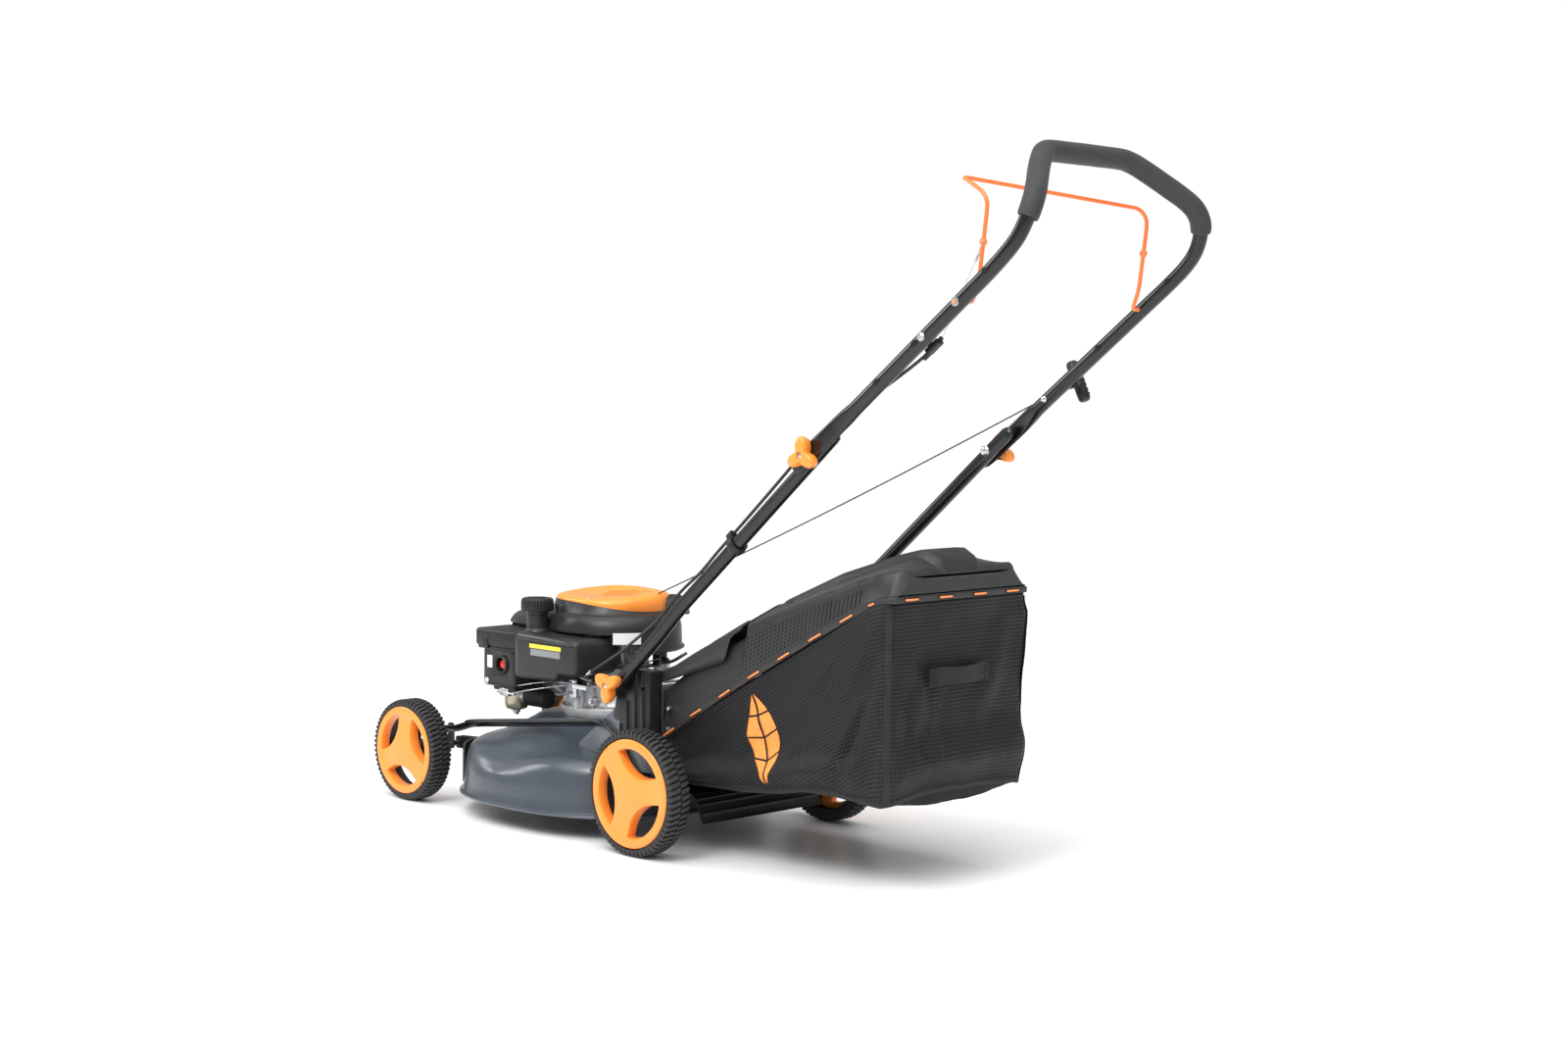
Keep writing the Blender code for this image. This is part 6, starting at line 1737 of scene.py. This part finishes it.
def make_carburettor():
    body = Shape()
    x, y = -0.095, 0.466
    body.add(turned([(0, 0.172), (0.012, 0.1722), (0.0185, 0.1745), (0.0208, 0.179), (0.0215, 0.185),
                     (0.0215, 0.201), (0.0228, 0.202), (0.0228, 0.206), (0.015, 0.207), (0, 0.207)],
                    (x, y, 0), "Z", 48))
    emit("carb_bowl", body, BRASSY, "root", ["carburettor"], smooth=40)
    emit("carb_fittings", [peg((x, y, 0.163), (x, y, 0.173), 0.0052, 6),
                           peg((x, y, 0.1675), (x, y, 0.1725), 0.0075, 24, 0.0008),
                           slab((x - 0.018, y - 0.02, 0.2055), (x + 0.018, y + 0.02, 0.2115), 0.002),
                           slab((x - 0.03, y - 0.012, 0.198), (x - 0.02, y + 0.012, 0.212), 0.002),
                           peg((x - 0.028, y + 0.02, 0.2035), (x - 0.028, y - 0.03, 0.2035), 0.0022, 14)],
         ZINC, "root", bevel=0.0004)
    emit("carb_body", [peg((x + 0.002, y - 0.012, 0.199), (x + 0.002, y - 0.032, 0.199), 0.013, 32, 0.001),
                       peg((x + 0.012, y, 0.199), (x + 0.05, y, 0.205), 0.01, 28, 0.001),
                       slab((x + 0.044, y - 0.022, 0.19), (x + 0.056, y + 0.022, 0.222), 0.003)], CAST,
         "root")
    boot = []
    ribs = 8
    for k in range(ribs * 6 + 1):
        share = k / (ribs * 6)
        yy = 0.4345 - share * 0.056
        radius = 0.0128 + 0.0045 * (0.5 - 0.5 * math.cos(2 * math.pi * share * ribs)) ** 0.7
        boot.append([(-0.093 + radius * math.cos(t), yy, 0.199 + radius * math.sin(t))
                     for t in np.linspace(0, 2 * math.pi, 36, endpoint=False)])
    emit("intake_bellows", bridge(boot), RUBBER_SOFT, "root", ["intake_boot"], smooth=50)
    wires = Shape()
    # throttle links, governor lever and its springs
    wires.add(sweep(smooth_path([(-0.124, 0.47, 0.214), (-0.122, 0.44, 0.218), (-0.112, 0.4, 0.226),
                                 (-0.103, 0.36, 0.233)], 6), 0.0011, 8))
    wires.add(sweep(smooth_path([(-0.121, 0.45, 0.204), (-0.116, 0.41, 0.213), (-0.106, 0.35, 0.225),
                                 (-0.1, 0.3, 0.233)], 6), 0.0011, 8))
    wires.add(slab((-0.106, 0.292, 0.211), (-0.1035, 0.302, 0.25), 0.001))
    wires.add(slab((-0.108, 0.262, 0.234), (-0.08, 0.33, 0.2362), 0.001))
    wires.add(slab((-0.109, 0.262, 0.227), (-0.1068, 0.3, 0.2362), 0.001))
    for start, end in (((-0.104, 0.297, 0.22), (-0.104, 0.345, 0.212)),
                       ((-0.098, 0.3, 0.248), (-0.098, 0.262, 0.243))):
        start, end = Vector(start), Vector(end)
        way = (end - start).normalized()
        side = way.orthogonal().normalized()
        other = way.cross(side)
        coil = [start + (end - start) * (k / 168) + polar(side, other, k * math.pi / 6, 0.0026)
                for k in range(169)]
        wires.add(sweep(coil, 0.0006, 6))
    for y0, z0 in ((0.272, 0.2362), (0.318, 0.2362)):
        wires.add(bolt((-0.094, y0, z0), (0, 0, 1), 0.0042, 0.0032))
    wires.add(bolt((-0.1062, 0.297, 0.24), (-1, 0, 0), 0.0044, 0.0034))
    emit("governor_links", wires, ZINC, "root", smooth=45)


BRASSY = look("bowl_plated", (0.5, 0.47, 0.36), 0.34, metal=0.95, spread=0.12, patch=60, grain=700,
              depth=0.0001, worn=(0.7, 0.68, 0.6), dust=0.06)
RUBBER_SOFT = look("bellows_rubber", (0.018, 0.018, 0.019), 0.5, spread=0.2, patch=80, grain=900,
                   depth=0.0001)
make_carburettor()


def make_crankcase():
    studs = [(0.086 * math.cos(k * math.pi / 3), ENGINE_Y + 0.086 * math.sin(k * math.pi / 3), top)
             for k, top in enumerate((0.216, 0.208, 0.22, 0.212, 0.226, 0.206))]
    case = Shape(turned([(0, 0.262), (0.034, 0.262), (0.048, 0.261), (0.0515, 0.258), (0.054, 0.243),
                         (0.06, 0.2405), (0.075, 0.239), (0.078, 0.237), (0.0795, 0.23), (0.0812, 0.202),
                         (0.0835, 0.196), (0.092, 0.1935), (0.094, 0.1915), (0.094, 0.1763), (0, 0.1763)],
                        (0, ENGINE_Y, 0), "Z", 120))
    for k in range(24):
        angle = 2 * math.pi * (k + 0.5) / 24
        way = Vector((math.cos(angle), math.sin(angle), 0))
        centre = Vector((0, ENGINE_Y, 0))
        side = Vector((-way.y, way.x, 0)) * 0.0017
        rib = [[centre + way * r + side * j + Vector((0, 0, z))
                for r, z in ((0.07, 0.23), (0.0835, 0.225), (0.09, 0.199), (0.09, 0.1925), (0.07, 0.1925))]
               for j in (-1, 1)]
        case.add(bridge(rib))
    for x, y, tall in studs:
        case.add(turned([(0, 0.1763), (0.0095, 0.1763), (0.0088, tall - 0.002), (0.0074, tall), (0, tall)],
                        (x, y, 0), "Z", 28))
    case.add(sweep([(-0.04, 0.372, 0.229), (-0.04, 0.402, 0.229)], 0.027, 28))
    case.add(slab((-0.042, 0.372, 0.198), (0.042, 0.404, 0.259), 0.006))
    case.add(turned([(0, 0.235), (0.016, 0.235), (0.0145, 0.256), (0.0155, 0.257), (0.0155, 0.2618),
                     (0, 0.2618)], (0.06, 0.256, 0), "Z", 32))
    case.add(slab((-0.088, 0.3, 0.196), (-0.07, 0.335, 0.236), 0.004))
    case.add(peg((-0.092, 0.3175, 0.214), (-0.072, 0.3175, 0.214), 0.012, 32, 0.0015))
    case.add(peg((-0.088, 0.272, 0.205), (-0.066, 0.278, 0.205), 0.008, 24, 0.001))
    emit("crankcase_casting", case, CAST, "root", ["engine_crankcase"], bevel=0.0005,
         smooth=34)
    bolts = Shape(*[bolt(stud, (0, 0, 1), 0.0048, 0.0042) for stud in studs])
    bolts.add(bolt((-0.092, 0.3175, 0.214), (-1, 0, 0), 0.0048, 0.0036))
    bolts.add(bolt((-0.0885, 0.272, 0.205), (-1, 0, 0), 0.0042, 0.0036))
    steel("crankcase_bolts", bolts)
    emit("brake_lever", [slab((-0.062, 0.214, 0.263), (0.02, 0.246, 0.2665), 0.001),
                         slab((-0.058, 0.208, 0.2665), (-0.052, 0.222, 0.283), 0.0012),
                         slab((0.01, 0.206, 0.2665), (0.0135, 0.226, 0.286), 0.001),
                         sweep(smooth_path([(0.012, 0.208, 0.279), (-0.01, 0.2, 0.278),
                                            (-0.032, 0.204, 0.274), (-0.054, 0.214, 0.274)], 6), 0.0014, 8),
                         sweep(rounded_path([(0.024, 0.236, 0.266), (0.046, 0.214, 0.269),
                                             (0.06, 0.192, 0.286)], 0.01, 4), 0.003, 12)], DARK_STEEL,
         "root", bevel=0.0003)
    emit("dipstick_cap", [turned([(0, 0.2623), (0.013, 0.2623), (0.0138, 0.264), (0.0138, 0.269),
                                  (0.012, 0.271), (0.005, 0.272), (0, 0.272)], (0.06, 0.256, 0), "Z", 36),
                          slab((0.0482, 0.2532, 0.27), (0.0718, 0.2588, 0.2863), 0.0022)], BLACK,
         "oil_dipstick", ["oil_dipstick"], bevel=0.0005)


make_crankcase()


def make_cylinder():
    body = Shape(slab((-0.034, 0.4025, 0.203), (0.034, 0.5, 0.282), 0.004))
    for k in range(8):
        y = 0.4085 + 0.0116 * k
        outline = rounded_outline([(-0.054, 0.198), (0.054, 0.198), (0.054, 0.287), (-0.054, 0.287)], 0.01,
                                  4)
        rings = [[(p.x * (1 - e), yy, 0.2425 + (p.y - 0.2425) * (1 - e)) for p in outline]
                 for yy, e in ((y - 0.0013, 0.03), (y - 0.0011, 0.0), (y + 0.0011, 0.0),
                               (y + 0.0013, 0.03))]
        body.add(bridge(rings))
    for x in (-0.044, 0.044):
        for z in (0.212, 0.272):
            body.add(peg((x, 0.403, z), (x, 0.503, z), 0.006, 20, 0.001))
    emit("cylinder_fins", body, CAST, "root", ["engine_cylinder"], smooth=34)
    heads = [bolt((x, 0.502, z), (0, 1, 0), 0.0048, 0.004) for x in (-0.044, 0.044) for z in (0.212, 0.272)]
    steel("cylinder_bolts", heads)
    plug = Shape(peg((0.018, 0.484, 0.245), (0.018, 0.504, 0.245), 0.0062, 24, 0.0006),
                 sweep([(0.018, 0.5, 0.245), (0.018, 0.509, 0.245)], 0.0098, 6))
    plug.add(peg((0.018, 0.509, 0.245), (0.018, 0.52, 0.245), 0.005, 24, 0.0008), 1)
    plug.add(peg((0.018, 0.516, 0.245), (0.018, 0.5335, 0.245), 0.0085, 24, 0.002), 2)
    emit("plug_and_boot", plug, [ZINC, PALE, TERMINAL], "root", ["spark_plug"], bevel=0.0003)
    box = slab((0.08, 0.402, 0.202), (0.16, 0.498, 0.274), 0.014, 5)
    emit("silencer_box", [box, slab((0.079, 0.4495, 0.201), (0.1615, 0.4525, 0.275), 0.001),
                          peg((0.05, 0.45, 0.25), (0.084, 0.45, 0.25), 0.011, 28)], MUFFLER, "root",
         ["muffler"], bevel=0.0005)
    guard = slab((0.161, 0.402, 0.205), (0.1655, 0.498, 0.271), 0.0015)
    holes = [slab((0.15, 0.412 + 0.0125 * k, 0.214), (0.18, 0.4185 + 0.0125 * k, 0.262), 0.0025)
             for k in range(7)]
    emit("silencer_guard", carved(guard, cut=holes), ZINC, "root", bevel=0.0004)


make_cylinder()


# ---------------------------------------------------------------- finish of the CAD nodes that stay
def dress(node, material):
    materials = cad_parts[node].data.materials
    if not materials:
        materials.append(material)
    for index in range(len(materials)):
        materials[index] = material


for node, material in (("crankshaft", DARK_STEEL), ("flywheel", CAST), ("blade_hub", CAST),
                       ("cutting_blade", BLADE), ("blade_bolt", ZINC), ("recoil_pulley", BLACK),
                       ("flap_rod", ZINC)):
    dress(node, material)


# ---------------------------------------------------------------- floor, light and camera
def make_stage():
    made = bmesh.new()
    bmesh.ops.create_circle(made, cap_ends=True, radius=45, segments=96)
    mesh = bpy.data.meshes.new("studio_floor")
    made.to_mesh(mesh)
    made.free()
    floor = link_new("studio_floor", mesh)
    pale = bpy.data.materials.new("studio_white")
    pale.use_nodes = True
    shader = pale.node_tree.nodes["Principled BSDF"]
    shader.inputs["Base Color"].default_value = (0.97, 0.97, 0.97, 1)
    shader.inputs["Roughness"].default_value = 0.35
    mesh.materials.append(pale)

    world = bpy.context.scene.world or bpy.data.worlds.new("studio")
    bpy.context.scene.world = world
    world.use_nodes = True
    tree = world.node_tree
    sky = tree.nodes["Background"]
    sky.inputs["Color"].default_value = (1, 1, 1, 1)
    rays = tree.nodes.new("ShaderNodeLightPath")
    level = remapped(tree, rays.outputs["Is Camera Ray"], 0.0, 1.0, 0.5, 1.02)
    tree.links.new(level, sky.inputs["Strength"])

    def softbox(name, place, aim, size, power):
        light = bpy.data.lights.new(name, "AREA")
        light.shape, light.size, light.energy = "DISK", size, power
        obj = link_new(name, light)
        obj.location = place
        obj.rotation_euler = (Vector(aim) - Vector(place)).to_track_quat("-Z", "Y").to_euler()
    softbox("key_light", (-2.4, -0.6, 3.0), (0, 0, 0.35), 1.6, 55)
    softbox("front_light", (-1.6, 3.2, 2.2), (0, 0.2, 0.3), 1.6, 35)
    sun = bpy.data.lights.new("overhead", "SUN")
    sun.energy, sun.angle = 2.8, math.radians(80)
    lamp = link_new("overhead", sun)
    lamp.rotation_euler = (math.radians(12), math.radians(-18), 0)


def make_camera():
    """The viewpoint: behind and to the left of the mower, a little above its deck."""
    place = Vector((-2.732, -2.7723 + REAR_Y, 0.7821))
    yaw, pitch, roll = 0.7962, -0.0658, 0.0131
    forward = Vector((math.sin(yaw) * math.cos(pitch), math.cos(yaw) * math.cos(pitch), math.sin(pitch)))
    right = Vector((math.cos(yaw), -math.sin(yaw), 0))
    up = right.cross(forward)
    right, up = right * math.cos(roll) + up * math.sin(roll), up * math.cos(roll) - right * math.sin(roll)
    lens = bpy.data.cameras.new("view")
    lens.lens, lens.sensor_width = 54.117, 36.0
    camera = link_new("view", lens)
    turn = Matrix((right, up, -forward)).transposed().to_4x4()
    turn.translation = place
    camera.matrix_world = turn
    bpy.context.scene.camera = camera


make_stage()
make_camera()
bpy.context.scene.view_settings.view_transform = "Standard"
